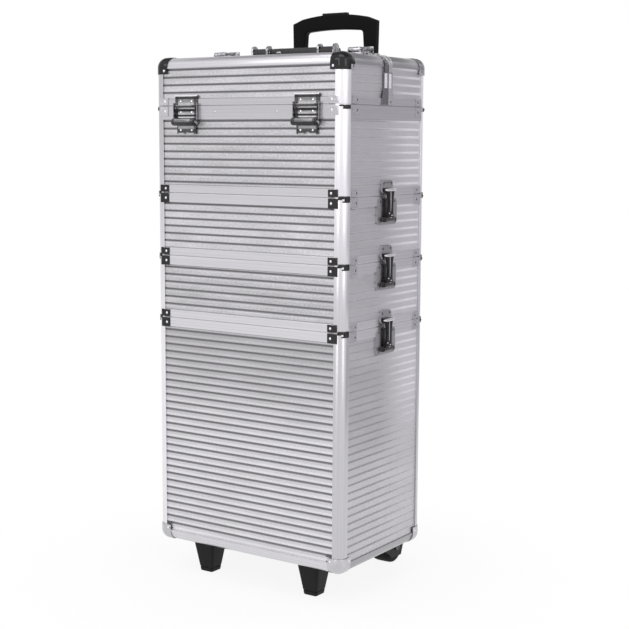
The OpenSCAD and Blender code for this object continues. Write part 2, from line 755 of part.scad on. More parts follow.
// Lid halves, drawn as the front half

module half_panels() {
  y0 = -core_d / 2;
  y1 = -split_half - cap_t;
  z1 = roof_z - edge_r;
  wall = panel_outline(lid_z + cap_t, z1, lid_z + lid_rim_h, z1 - lip_over, groove_edge);
  roof = panel_outline(y0, y1, y0 + lip_over, -split_half - split_w, roof_groove);
  along_x(core_w) front_outline(wall, lip_t, 0);
  along_y(y0, y1) side_outline(wall, lip_t, 0);
  mirror([1, 0, 0]) along_y(y0, y1) side_outline(wall, lip_t, 0);
  along_x(core_w) polygon([for (p = roof) [p[1], roof_z - lip_t - p[0]]]);
}

module half_frame() {
  fronts = [corners[2], corners[3]];
  z_c = roof_z - edge_r;
  y_c = -half_d + edge_r;
  y_s = y_c + lip_over + member_gap;
  at_corners(fronts) post(lid_z + member_gap, z_c - member_gap);
  at_corners(fronts) translate([0, 0, z_c]) ball(edge_r, edge_r - wall_t);
  along_x(rim_w) translate([y_c, z_c]) rotate(90) edge_section();
  along_x(rim_w) front_outline(rim_low(lid_rim_h), 0, lid_z);
  along_x(rim_w) polygon([for (p = rim_low(split_w)) [-split_half - p[1], roof_z - p[0]]]);
  for (m = [0, 1]) mirror([m, 0, 0]) {
    along_y(y_s, -split_half) translate([half_w - edge_r, z_c]) edge_section();
    along_y(y_s, -split_half) side_outline(rim_low(lid_rim_h), 0, lid_z);
    translate([0, 0, lid_z + lid_rim_h + member_gap])
      linear_extrude(lid_h - lid_rim_h - lip_end - 2 * member_gap)
        polygon([for (p = rim_low(split_w)) [half_w - p[0], -split_half - p[1]]]);
  }
}

module half_caps() {
  fronts = [corners[2], corners[3]];
  z_c = roof_z - edge_r;
  at_corners(fronts) translate([0, 0, z_c]) corner_cap();
  at_brackets(fronts) tab_pair(lid_z + tab_gap, tab_up_h);
  for (m = [0, 1]) mirror([m, 0, 0]) {
    along_y(-split_half - cap_reach, -split_half) translate([half_w - edge_r, z_c]) {
      ring(edge_r + sheet_t, edge_r);
      translate([-cap_reach, edge_r]) square([cap_reach, sheet_t]);
      translate([edge_r, -cap_reach]) square([sheet_t, cap_reach]);
    }
    translate([half_w, -split_half, lid_z + tab_gap]) rotate([90, 0, 90]) linear_extrude(sheet_t)
      polygon([[0, 0], [0, split_tab_h], [-split_w, split_tab_h], [-split_w - split_tab_out, 0]]);
    translate([half_w, -split_half - split_w / 2, lid_z + lid_rim_h / 2]) rotate([0, 0, 90])
      rivet(0, 0, sheet_t);
  }
}

// Trays and arms of the front half

module tray(z, h) {
  w = 2 * tray_x;
  d = -tray_split - tray_y0;
  difference() {
    translate([-tray_x, tray_y0, z]) cube([w, d, h]);
    translate([-tray_x + tray_t, tray_y0 + tray_t, z + tray_t]) cube([w - 2 * tray_t, d - 2 * tray_t, h]);
  }
}

module tray_studs(len, z) for (y = [arm_y, arm_y + arm_pitch], s = [-1, 1])
  translate([s * tray_x, y + len * sin(arm_lean), z]) rotate([0, s * 90, 0])
    cylinder(h = arm_gap + arm_t + fit, r = stud_r);

module lower_tray() {
  tray(lid_z + tray_low, tray_low_h);
  tray_studs(arm_1, lid_z + tray_low + stud_up);
}

module upper_tray() {
  tray(lid_z + tray_up, tray_up_h);
  tray_studs(arm_2, lid_z + tray_up + stud_up);
}

module arm_pair(y) for (s = [0, 1]) mirror([s, 0, 0])
  translate([arm_in_x, y, arm_z]) rotate([-arm_lean, 0, 0]) difference() {
    union() {
      translate([0, -arm_w / 2, 0]) cube([arm_t, arm_w, arm_2]);
      rotate([0, 90, 0]) cylinder(h = arm_t, r = arm_w / 2 + eye_over);
      translate([0, 0, arm_2]) rotate([0, 90, 0]) cylinder(h = arm_t, r = arm_w / 2 + eye_over);
    }
    for (z = [0, arm_1, arm_2])
      translate([-over, 0, z]) rotate([0, 90, 0]) cylinder(h = arm_t + 2 * over, r = stud_r + pin_fit);
  }

module wall_studs() for (y = [arm_y, arm_y + arm_pitch], s = [-1, 1]) translate([0, y, arm_z]) {
  translate([s * (arm_in_x - fit), 0, 0]) rotate([0, s * 90, 0])
    cylinder(h = half_w - wall_t - arm_in_x + fit, r = stud_r);
  translate([s * (arm_in_x + arm_t + fit), 0, 0]) rotate([0, s * 90, 0])
    cylinder(h = half_w - wall_t - arm_in_x - arm_t - fit, r = boss_r);
}

// Nodes of the base

module base_panels() color("silver") {
  z1 = low_z - cap_t;
  four_walls(base_z + edge_r, z1, base_z + lip_end, low_z - rim_top_h, base_groove);
  translate([-core_w / 2, -core_d / 2, base_z + lip_t]) cube([core_w, core_d, panel_t]);
}

module base_frame() color("gainsboro") {
  z_c = base_z + edge_r;
  at_corners(corners) post(z_c + member_gap, low_z - member_gap);
  at_corners(corners) translate([0, 0, z_c]) mirror([0, 0, 1]) ball(edge_r, edge_r - wall_t);
  both_ends() along_x(rim_w) translate([-half_d + edge_r, z_c]) rotate(180) edge_section();
  both_ends() along_y(-rim_d / 2, rim_d / 2)
    translate([half_w - edge_r, z_c]) rotate(270) edge_section();
  four_rims(rim_top(rim_top_h), low_z);
}

module base_corner_caps() color("gray")
  at_corners(corners) translate([0, 0, base_z + edge_r]) mirror([0, 0, 1]) corner_cap();

module base_brackets() color("dimgray") at_brackets(corners) low_bracket(low_z, band_over);

module base_latch_plates() color("slategray") side_base(low_z);

module front_feet() color("black") for (s = [-1, 1]) translate([s * foot_x, -foot_y, 0])
  rotate([0, 0, 45]) cylinder(h = base_z + lip_t, r1 = foot_low / sqrt(2), r2 = foot_top / sqrt(2), $fn = 4);

module wheel_arch() {
  r_in = wheel_r + wheel_gap;
  r_out = r_in + arch_t;
  intersection() {
    difference() {
      circle(r_out);
      circle(r_in);
    }
    polygon([[0, 0], [-2 * r_out, r_out], [-r_out, 3 * r_out], [r_out, 3 * r_out], [2 * r_out, r_out]]);
  }
}

module wheel_cheek() {
  r = wheel_r + wheel_gap + arch_t + member_gap;
  z_top = base_z - wheel_r;
  y_in = -wheel_out - housing_in;
  polygon(concat(
    [[y_in, z_top], [y_in, z_top - housing_low], [-boss_half, -boss_drop], [boss_half, -boss_drop]],
    [for (a = [30 : 15 : 135]) [r * cos(a), r * sin(a)]],
    [[-r, z_top]]));
}

module wheel_housings() color("black") for (s = [-1, 1]) translate([s * wheel_x, 0, 0]) {
  w = wheel_w + 2 * wheel_gap;
  full = w + 2 * housing_t;
  y_in = half_d - housing_in;
  difference() {
    union() {
      for (m = [-1, 1]) translate([m * (w + housing_t) / 2, 0, 0])
        along_x(housing_t) translate([wheel_y, wheel_r]) wheel_cheek();
      along_x(full - 2 * member_gap) translate([wheel_y, wheel_r]) wheel_arch();
      translate([-full / 2, y_in, base_z - housing_t]) {
        cube([full, housing_pad, housing_t]);
        cube([full, core_d / 2 - lip_over - fit - y_in, housing_t + lip_t]);
      }
    }
    translate([-full, wheel_y, wheel_r]) rotate([0, 90, 0])
      cylinder(h = 2 * full, r = axle_r + member_gap / 2);
  }
}

module wheel_axles() color("silver") for (s = [-1, 1]) {
  len = wheel_w + 2 * wheel_gap + 2 * housing_t;
  translate([s * wheel_x - len / 2, wheel_y, wheel_r]) rotate([0, 90, 0]) cylinder(h = len, r = axle_r);
  for (m = [-1, 1]) translate([s * wheel_x + m * (len + axle_cap_t) / 2, wheel_y, wheel_r])
    rotate([0, 90, 0]) cylinder(h = axle_cap_t, r = axle_cap_r, center = true);
}

module tube_pair(w, d, wall, z0, z1) for (s = [-1, 1]) translate([s * tube_x, tube_y, z0]) difference() {
  translate([-w / 2, -d / 2, 0]) cube([w, d, z1 - z0]);
  translate([wall - w / 2, wall - d / 2, -over]) cube([w - 2 * wall, d - 2 * wall, z1 - z0 + 2 * over]);
}

module trolley_outer_tubes() color("lightgray") tube_pair(tube_w, tube_d, tube_wall, tube_low, tube_top);

module trolley_clamps() color("black")
  for (s = [-1, 1], z = [tube_low + clamp_low, low_z - rim_top_h - clamp_drop - clamp_h]) difference() {
    translate([s * tube_x - tube_w / 2 - clamp_wall, half_d - lip_t, z])
      cube([tube_w + 2 * clamp_wall, lip_t + tube_gap + tube_d + clamp_wall, clamp_h]);
    translate([s * tube_x - tube_w / 2 - member_gap, tube_y - tube_d / 2 - member_gap, z - over])
      cube([tube_w + 2 * member_gap, tube_d + 2 * member_gap, clamp_h + 2 * over]);
  }

// Nodes of the middle tiers

module tier_latch_plates(z) {
  side_strike(z);
  side_base(z + tier_h);
}

module tier_brackets(z) {
  at_brackets(corners) tab_pair(z + tab_gap, tab_up_h);
  at_brackets(corners) low_bracket(z + tier_h, band_over);
}

module lower_panels() color("silver") tier_panels(low_z, tier_h, lower_groove);
module lower_frame() color("gainsboro") tier_frame(low_z, tier_h);
module lower_brackets() color("dimgray") tier_brackets(low_z);
module lower_latch_plates() color("slategray") tier_latch_plates(low_z);
module upper_panels() color("silver") tier_panels(up_z, tier_h, groove_edge);
module upper_frame() color("gainsboro") tier_frame(up_z, tier_h);
module upper_brackets() color("dimgray") tier_brackets(up_z);
module upper_latch_plates() color("slategray") tier_latch_plates(up_z);

// Nodes of the top case

module top_panels() color("silver") {
  four_walls(top_z + cap_t, lid_z - cap_t, top_z + rim_low_h, lid_z - top_rim_h, groove_edge);
  tier_floor(top_z + floor_up);
}

module top_frame() color("gainsboro") {
  at_corners(corners) post(top_z + member_gap, lid_z - member_gap);
  four_rims(rim_low(rim_low_h), top_z);
  four_rims(rim_top(top_rim_h), lid_z);
}

module top_brackets() color("dimgray") {
  at_brackets(corners) tab_pair(top_z + tab_gap, tab_up_h);
  at_brackets(corners) low_bracket(lid_z, -tab_gap);
  for (s = [-1, 1]) on_front(s * rim_rivet_x, lid_z - rim_rivet_drop) rivet(0, 0, 0);
}

module top_strikes() color("slategray") side_strike(top_z);
module hinge_body_leaves() color("lightsteelblue") both_ends() hinge_pair() hinge_body_leaf();
module hinge_pins() color("silver") both_ends() hinge_pair()
  translate([-leaf_w / 2 - pin_over, -hinge_out, -hinge_drop]) rotate([0, 90, 0])
    cylinder(h = leaf_w + 2 * pin_over, r = pin_r);
module tray_wall_studs() color("silver") both_ends() wall_studs();
module rear_lid_panels() color("silver") rotate([0, 0, 180]) half_panels();
module rear_lid_frame() color("gainsboro") rotate([0, 0, 180]) half_frame();
module rear_lid_caps() color("dimgray") rotate([0, 0, 180]) half_caps();
module rear_lid_hinge_leaves() color("lightsteelblue") rotate([0, 0, 180]) hinge_pair() hinge_lid_leaf();
module rear_lid_strikes() color("lightsteelblue") for (s = [-1, 1])
  on_roof(s * top_latch_x)
    latch_strike(top_plate_w, top_strike_l, split_half + split_w, top_rise, top_reach);

module carry_handle_brackets() color("lightsteelblue") for (s = [-1, 1])
  translate([s * bail_x, bail_y, roof_z]) {
    w = bail_gap + 2 * ear_t + 2 * bail_edge;
    y0 = split_half + bail_edge - bail_y;
    difference() {
      union() {
        translate([-w / 2, y0, 0]) cube([w, -2 * y0, plate_t]);
        translate([-w / 2, split_half + split_w + member_gap - bail_y, -lip_t])
          cube([w, -y0 - split_half - split_w - member_gap + bail_y, lip_t]);
        for (m = [-1, 1]) translate([m * (bail_gap + ear_t) / 2 - ear_t / 2, 0, 0]) {
          translate([0, ear_set - ear_r, plate_t / 2])
            cube([ear_t, 2 * ear_r - 2 * ear_set, bail_z + ear_up - plate_t / 2]);
          translate([0, 0, bail_z + ear_up]) rotate([0, 90, 0]) cylinder(h = ear_t, r = ear_r);
        }
      }
      translate([-w, 0, bail_z]) rotate([0, 90, 0]) cylinder(h = 2 * w, r = bail_pin_r + member_gap / 2);
    }
    translate([-w / 2, 0, bail_z]) rotate([0, 90, 0]) cylinder(h = w, r = bail_pin_r);
  }

module carry_handle() color("black") translate([0, bail_y, roof_z + bail_z]) {
  w = bail_gap - 2 * fit;
  difference() {
    union() {
      for (s = [-1, 1]) translate([s * bail_x, 0, 0]) {
        translate([-w / 2, 0, 0]) rotate([0, 90, 0]) cylinder(h = w, r = ear_r - fit);
        translate([-bail_arm / 2, 0, bail_set - ear_r]) cube([bail_arm, bail_l, 2 * ear_r - 2 * bail_set]);
      }
      translate([-bail_x - bail_arm / 2, bail_l, 0]) rotate([0, 90, 0])
        cylinder(h = 2 * bail_x + bail_arm, r = grip_r);
    }
    translate([-2 * bail_x, 0, 0]) rotate([0, 90, 0]) cylinder(h = 4 * bail_x, r = bail_pin_r + pin_fit);
  }
}

module rear_trays() color("darkslategray") rotate([0, 0, 180]) {
  lower_tray();
  upper_tray();
}

module rear_tray_arms() color("silver") rotate([0, 0, 180]) {
  arm_pair(arm_y);
  arm_pair(arm_y + arm_pitch);
}

// Nodes of the front lid and its trays

module front_lid_panels() color("silver") half_panels();
module front_lid_frame() color("gainsboro") half_frame();
module front_lid_caps() color("dimgray") half_caps();
module front_lid_hinge_leaves() color("lightsteelblue") hinge_pair() hinge_lid_leaf();
module top_latch_bases() color("lightsteelblue") for (s = [-1, 1])
  on_roof(s * top_latch_x)
    latch_base(top_plate_w, top_base_l, top_lever_w, top_pivot, split_half + split_w, top_rise);
module top_lever() latch_lever(top_lever_w, top_pivot, top_reach);
module left_top_latch() color("slategray") on_roof(-top_latch_x) top_lever();
module right_top_latch() color("slategray") on_roof(top_latch_x) top_lever();
module front_lower_tray() color("darkslategray") lower_tray();
module front_upper_tray() color("darkslategray") upper_tray();
module front_tray_arms() color("silver") arm_pair(arm_y);
module front_tray_links() color("silver") arm_pair(arm_y + arm_pitch);

// Side latch levers

module base_left_latch() color("slategray") on_left(low_z) side_lever();
module base_right_latch() color("slategray") on_right(low_z) side_lever();
module lower_left_latch() color("slategray") on_left(up_z) side_lever();
module lower_right_latch() color("slategray") on_right(up_z) side_lever();
module upper_left_latch() color("slategray") on_left(top_z) side_lever();
module upper_right_latch() color("slategray") on_right(top_z) side_lever();

// Nodes of the trolley handle

module trolley_middle_tubes() color("lightgray")
  tube_pair(mid_tube_w, mid_tube_d, tube_wall, mid_low, mid_top);
module trolley_inner_tubes() color("lightgray") tube_pair(in_tube_w, in_tube_d, tube_wall, in_low, in_top);

// Points of an arch over x = -half to half, whose ends lie lower than its middle by rise
function arch(half, z, rise) = [for (i = [8 : -1 : -8]) [half * i / 8, z - rise * i * i / 64]];

module grip_outline() {
  c = grip_half - shoulder_w;
  z_s = grip_z - grip_arch - shoulder_h;
  foot = tube_x + leg_w / 2;
  inner = grip_half - leg_top_w;
  gap_z = grip_z - grip_bar;
  side_z = gap_z - gap_arch - gap_r;
  polygon(concat(
    [[foot, grip_low], [grip_half, z_s]],
    arch(c, grip_z, grip_arch),
    [[-grip_half, z_s], [-foot, grip_low], [leg_w - foot, grip_low]],
    [for (a = [180 : -15 : 90]) [gap_r - inner + gap_r * cos(a), side_z + gap_r * sin(a)]],
    [for (p = arch(inner - gap_r, gap_z, gap_arch)) [-p[0], p[1]]],
    [for (a = [90 : -15 : 0]) [inner - gap_r + gap_r * cos(a), side_z + gap_r * sin(a)]],
    [[foot - leg_w, grip_low]]));
}

module trolley_grip() color("black") difference() {
  along_y(tube_y - tube_d / 2, tube_y + tube_d / 2) grip_outline();
  for (s = [-1, 1])
    translate([s * tube_x - in_tube_w / 2 - member_gap, tube_y - in_tube_d / 2 - member_gap, grip_low - over])
      cube([in_tube_w + 2 * member_gap, in_tube_d + 2 * member_gap, in_top - grip_low + over + member_gap]);
  translate([-button_l / 2 - fit, tube_y - button_w / 2 - fit, grip_z - button_deep])
    cube([button_l + 2 * fit, button_w + 2 * fit, button_deep + over]);
}

module trolley_button() color("dimgray")
  translate([-button_l / 2, tube_y - button_w / 2, grip_z - button_seat])
    cube([button_l, button_w, button_seat + button_up]);

// Wheels

module tyre(x) translate([x, wheel_y, wheel_r]) rotate([0, 90, 0]) rotate_extrude() {
  a = wheel_w / 2;
  seat = hub_r + member_gap / 2;
  polygon([
    [seat, hub_set - a], [wheel_r - tyre_edge, -a], [wheel_r, tyre_round - a], [wheel_r, a - tyre_round],
    [wheel_r - tyre_edge, a], [seat, a - hub_set]]);
}

module hub(x) translate([x, wheel_y, wheel_r]) rotate([0, 90, 0]) rotate_extrude() {
  a = wheel_w / 2;
  bore = axle_r + pin_fit;
  rim = hub_r - hub_lip;
  boss = 2 * axle_r;
  half = [[bore, a + hub_boss], [boss, a + hub_boss], [boss, a - hub_dish], [rim, a - hub_dish],
    [rim, a - hub_set], [hub_r, a - hub_set]];
  polygon(concat(half, [for (i = [5 : -1 : 0]) [half[i][0], -half[i][1]]]));
}

module left_tyre() color("black") tyre(-wheel_x);
module right_tyre() color("black") tyre(wheel_x);
module left_hub() color("gray") hub(-wheel_x);
module right_hub() color("gray") hub(wheel_x);

placed() base_panels();
placed() base_frame();
placed() base_corner_caps();
placed() base_brackets();
placed() base_latch_plates();
placed() front_feet();
placed() wheel_housings();
placed() wheel_axles();
placed() trolley_outer_tubes();
placed() trolley_clamps();
placed() lower_panels();
placed() lower_frame();
placed() lower_brackets();
placed() lower_latch_plates();
placed() upper_panels();
placed() upper_frame();
placed() upper_brackets();
placed() upper_latch_plates();
placed() top_panels();
placed() top_frame();
placed() top_brackets();
placed() top_strikes();
placed() hinge_body_leaves();
placed() hinge_pins();
placed() tray_wall_studs();
placed() rear_lid_panels();
placed() rear_lid_frame();
placed() rear_lid_caps();
placed() rear_lid_hinge_leaves();
placed() rear_lid_strikes();
placed() carry_handle_brackets();
placed() rear_trays();
placed() rear_tray_arms();
placed() front_lid_panels();
placed() front_lid_frame();
placed() front_lid_caps();
placed() front_lid_hinge_leaves();
placed() top_latch_bases();
placed() left_top_latch();
placed() right_top_latch();
placed() front_lower_tray();
placed() front_upper_tray();
placed() front_tray_arms();
placed() front_tray_links();
placed() carry_handle();
placed() base_left_latch();
placed() base_right_latch();
placed() lower_left_latch();
placed() lower_right_latch();
placed() upper_left_latch();
placed() upper_right_latch();
placed() trolley_middle_tubes();
placed() trolley_inner_tubes();
placed() trolley_grip();
placed() trolley_button();
placed() left_tyre();
placed() left_hub();
placed() right_tyre();
placed() right_hub();
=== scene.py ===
import bmesh
import bpy
import json
import math
import numpy as np
from mathutils import Matrix, Vector


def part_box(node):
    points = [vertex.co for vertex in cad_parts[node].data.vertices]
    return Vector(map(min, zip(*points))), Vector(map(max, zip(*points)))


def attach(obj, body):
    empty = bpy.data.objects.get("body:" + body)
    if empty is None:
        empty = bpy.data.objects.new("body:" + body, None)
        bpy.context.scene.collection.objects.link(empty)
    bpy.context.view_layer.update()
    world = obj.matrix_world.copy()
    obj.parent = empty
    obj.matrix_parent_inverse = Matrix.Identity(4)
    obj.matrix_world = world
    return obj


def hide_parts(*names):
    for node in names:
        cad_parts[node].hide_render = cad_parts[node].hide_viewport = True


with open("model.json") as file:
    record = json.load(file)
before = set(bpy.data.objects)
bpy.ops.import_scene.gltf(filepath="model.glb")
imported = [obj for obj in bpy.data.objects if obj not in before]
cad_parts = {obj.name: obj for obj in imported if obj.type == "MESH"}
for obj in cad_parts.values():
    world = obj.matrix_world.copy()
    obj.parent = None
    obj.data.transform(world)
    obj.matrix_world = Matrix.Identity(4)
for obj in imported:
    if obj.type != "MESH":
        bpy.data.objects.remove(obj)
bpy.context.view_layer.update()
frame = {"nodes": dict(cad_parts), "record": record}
nodes = frame["nodes"]
scene = bpy.context.scene
print("frame loaded,", len(nodes), "nodes")


# sizes that several pieces share, read off the frame, in metres
caseLow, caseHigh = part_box("base_frame")
caseMidY = (caseLow.y + caseHigh.y) / 2
halfW = caseHigh.x
halfD = (caseHigh.y - caseLow.y) / 2
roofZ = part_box("front_lid_frame")[1].z
seamZ = {
    "base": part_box("lower_frame")[0].z,
    "lower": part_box("upper_frame")[0].z,
    "upper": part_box("top_frame")[0].z,
    "lid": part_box("front_lid_frame")[0].z,
}
wallIn = 0.006  # outside of the frame to the inside of a wall


# camera: the photo's own viewpoint, focal length in picture widths
cameraSet = {
    "place": (1.24277, -1.76096, 0.65328),  # from under the case middle, height over the case bottom
    "yaw": -34.164,
    "pitch": -7.382,
    "roll": 0.294,
    "focal": 2.12854,
}


def makeCamera(s):
    yaw, pitch, roll = (math.radians(s[k]) for k in ("yaw", "pitch", "roll"))
    ahead = Vector((math.sin(yaw) * math.cos(pitch), math.cos(yaw) * math.cos(pitch), math.sin(pitch)))
    right = Vector((math.cos(yaw), -math.sin(yaw), 0))
    up = right.cross(ahead)
    side = right * math.cos(roll) + up * math.sin(roll)
    top = side.cross(ahead)
    data = bpy.data.cameras.new("camera")
    data.sensor_width = 36
    data.lens = s["focal"] * data.sensor_width
    data.clip_end = 50
    cam = bpy.data.objects.new("camera", data)
    scene.collection.objects.link(cam)
    turn = Matrix((side, top, -ahead)).transposed().to_4x4()
    cam.matrix_world = Matrix.Translation(Vector(s["place"]) + Vector((0, caseMidY, caseLow.z))) @ turn
    scene.camera = cam


makeCamera(cameraSet)


# a value in a node tree, so shader maths reads as plain expressions
class Val:
    def __init__(self, shade, socket):
        self.shade, self.socket = shade, socket

    def math(self, operation, *others):
        return self.shade.node("ShaderNodeMath", {"operation": operation}, [self, *others])

    def __add__(self, o): return self.math("ADD", o)
    def __radd__(self, o): return self.math("ADD", o)
    def __sub__(self, o): return self.math("SUBTRACT", o)
    def __rsub__(self, o): return self.shade.node("ShaderNodeMath", {"operation": "SUBTRACT"}, [o, self])
    def __mul__(self, o): return self.math("MULTIPLY", o)
    def __rmul__(self, o): return self.math("MULTIPLY", o)
    def __truediv__(self, o): return self.math("DIVIDE", o)
    def __abs__(self): return self.math("ABSOLUTE")
    def __gt__(self, o): return self.math("GREATER_THAN", o)
    def __lt__(self, o): return self.math("LESS_THAN", o)
    def fract(self): return self.math("FRACT")
    def least(self, o): return self.math("MINIMUM", o)
    def most(self, o): return self.math("MAXIMUM", o)
    def wave(self): return self.math("SINE")

    # 0 below low, 1 above high, smooth between
    def ramp(self, low, high):
        return self.shade.node("ShaderNodeMapRange", {"interpolation_type": "SMOOTHSTEP"},
                               {"Value": self, "From Min": low, "From Max": high})


class Shade:
    def __init__(self, tree):
        self.tree = tree

    def feed(self, socket, value):
        if isinstance(value, Val):
            self.tree.links.new(value.socket, socket)
        else:
            socket.default_value = value

    def node(self, kind, settings=None, inputs=(), out=0):
        n = self.tree.nodes.new(kind)
        for key, value in (settings or {}).items():
            setattr(n, key, value)
        pairs = inputs.items() if isinstance(inputs, dict) else enumerate(inputs)
        for key, value in pairs:
            self.feed(n.inputs[key], value)
        return Val(self, n.outputs[out])

    def place(self):
        return self.node("ShaderNodeTexCoord", out="Object")

    def split(self, vector):
        first = self.node("ShaderNodeSeparateXYZ", {}, [vector])
        return [Val(self, o) for o in first.socket.node.outputs]

    def stretch(self, vector, scale):
        return self.node("ShaderNodeMapping", {}, {"Vector": vector, "Scale": scale})

    def noise(self, vector, scale, detail):
        return self.node("ShaderNodeTexNoise", {}, {"Vector": vector, "Scale": scale, "Detail": detail})

    # 1 for rays from the camera, a mirror or a glass
    def seen(self):
        rays = self.node("ShaderNodeLightPath").socket.node.outputs
        camera, glossy, through = (Val(self, rays[k]) for k in ("Is Camera Ray", "Is Glossy Ray",
                                                                "Is Transmission Ray"))
        return (camera + glossy + through).least(1.0)

    def mix(self, amount, a, b):
        return self.node("ShaderNodeMix", {"data_type": "RGBA"}, {0: amount, 6: a, 7: b}, 2)


class Paint(Shade):
    def __init__(self, name, **fixed):
        self.mat = bpy.data.materials.new(name)
        self.mat.use_nodes = True
        super().__init__(self.mat.node_tree)
        self.bsdf = self.tree.nodes["Principled BSDF"]
        for key, value in fixed.items():
            self.put(key.replace("_", " "), value)

    def put(self, name, value):
        self.feed(self.bsdf.inputs[name], value)

    def bump(self, height, distance, strength):
        self.put("Normal", self.node("ShaderNodeBump", {}, {"Height": height, "Distance": distance,
                                                            "Strength": strength}))


# a silver with the faint violet cast of the photo
def silver(v):
    return (v, v * 0.982, v * 1.028, 1)


# ribbed skin: soft dark lines of painted shade in the grooves with a bright lip of painted highlight beside
# each, over an embossed grain;
# round the sides, painted darker than the front, the lines are painted shade low down by the front post and
# painted highlight toward the rear higher up
ribSet = {"pitch": 0.0119, "line": 0.0011, "fade": 0.0026, "diamond": 0.0026, "front": 0.66, "side": 0.585,
          "grooveShadeTone": 0.275, "sideGrooveShadeTone": 0.40, "sideGrooveHighlightTone": 0.95, "liner": 0.03, "sheet": 0.0045,
          "inner": 0.0042, "rimShade": 0.75}


def ribbedSkin(name, kind):
    s = ribSet
    sh = Paint(name)
    where = sh.place()
    x, y, z = sh.split(where)
    depth = abs(y - caseMidY)
    side = abs(x) > halfW - s["sheet"]
    along = z - kind["first"]
    if "roof" in kind:  # the lid roof is grooved along its width
        along = along + (z > roofZ - s["sheet"]) * (depth - kind["roof"] - along)
    step = along / s["pitch"]
    off = abs((step + 0.5).fract() - 0.5) * s["pitch"]
    groove = (1 - off.ramp(s["line"], s["fade"])) * (along > -0.003)
    line = groove
    for edge, up in kind["rims"]:  # shadow that a rim lip leaves on the panel beside it
        line = line.most(s["rimShade"] - ((z - edge) * up).ramp(0.0004, 0.0018) * s["rimShade"])
    louvre = step.fract()  # 0 in a line, rising to 1 in the next line above
    # above and below are painted highlights: bright lips just above and just below each line
    above = louvre.ramp(0.16, 0.27) * (1 - louvre.ramp(0.40, 0.56))
    below = louvre.ramp(0.55, 0.66) * (1 - louvre.ramp(0.74, 0.85))
    k = 2 * math.pi / s["diamond"]
    diamond = ((x + y + z) * k).wave() * ((x + y - z) * k).wave()
    patch = sh.noise(sh.stretch(where, (1.0, 1.0, 3.5)), 14.0, 3.0)
    grain = sh.noise(sh.stretch(where, (1.0, 1.0, 1.9)), 260.0, 2.0) - 0.5
    tone = grain * kind["grain"] + (patch - 0.5) * kind.get("patch", 1.3) + diamond * 0.10 * patch
    tone = tone + above * kind["above"] + below * kind["below"]
    # the tone runs from low to high up the case between a dim and a full copy; on the base this is painted
    # light and shade, lighter low down and darker toward its top
    low, high = kind["tone"]
    height = (z - caseLow.z).ramp(0.13, 0.36)
    level = low + (high - low) * height
    front = sh.mix(tone * 0.5 + 0.5, silver(s["front"] * 0.6), silver(s["front"] * 1.4))
    dim = sh.mix(tone * 0.5 + 0.5, silver(s["front"] * 0.42), silver(s["front"] * 0.98))
    front = sh.mix((level - 0.7) / 0.3, dim, front)
    # painted light and shade on the sides: painted darker than the front, lighter toward the rear higher up
    # and darker low down by the front
    back = (y - caseMidY).ramp(-0.03, 0.09)  # toward the rear of a side
    upper = (z - caseLow.z).ramp(0.16, 0.30)
    paintedSideShade = (1 - back) * (1 - abs(z - caseLow.z - 0.25).ramp(0.03, 0.12)) * 0.20
    sideLightAndShade = back * upper * 0.28 * kind.get("flank", 1.0) - (1 - upper) * 0.02 - paintedSideShade
    flank = sh.mix(grain * 0.25 + (patch - 0.5) * 0.25 + sideLightAndShade + 0.5, silver(s["side"] * 0.6),
                   silver(s["side"] * 1.4))
    # painted shade: on the front the grooves and the edges beside the rim lips are painted dark
    grooveShadedFront = sh.mix(line, front, silver(s["grooveShadeTone"]))
    # on the sides the lines are painted shade low by the front and painted highlight toward the rear higher
    # up
    sideGrooveShade = groove * (1 - back) * (1 - upper) * 0.5
    sideGrooveHighlight = groove * back * (0.25 + upper * 0.5)
    flanked = sh.mix(sideGrooveHighlight, sh.mix(sideGrooveShade, flank, silver(s["sideGrooveShadeTone"])), silver(s["sideGrooveHighlightTone"]))
    skin = sh.mix(side, grooveShadedFront, flanked)
    inset = (halfW - abs(x)).least(halfD - depth).least(roofZ - z)
    inner = inset > s["inner"]
    felt = sh.noise(where, 700.0, 2.0)
    lining = sh.mix(felt, silver(s["liner"] * 0.6), silver(s["liner"] * 1.5))
    sh.put("Base Color", sh.mix(inner, skin, lining))
    sh.put("Metallic", 0.9 - inner * 0.9)
    sh.put("Roughness", (0.36 + diamond * 0.05 + line * 0.2) + inner * 0.5)
    sh.bump(diamond * 0.3 + grain * 0.6 - groove * (1 - side) + felt * inner, 0.0003, 0.55)
    return sh.mat


# satin extrusion: fine lines along posts and rims, painted light and shade on posts and rims, and by the lid
# split bright bars with painted shade at their borders
frameSet = {"post": 0.0171, "rail": 0.0165, "foot": 0.0172, "bead": 0.005, "strip": 0.0126, "stripLow": 0.011,
            "bar": 0.0062, "barHigh": 0.048}


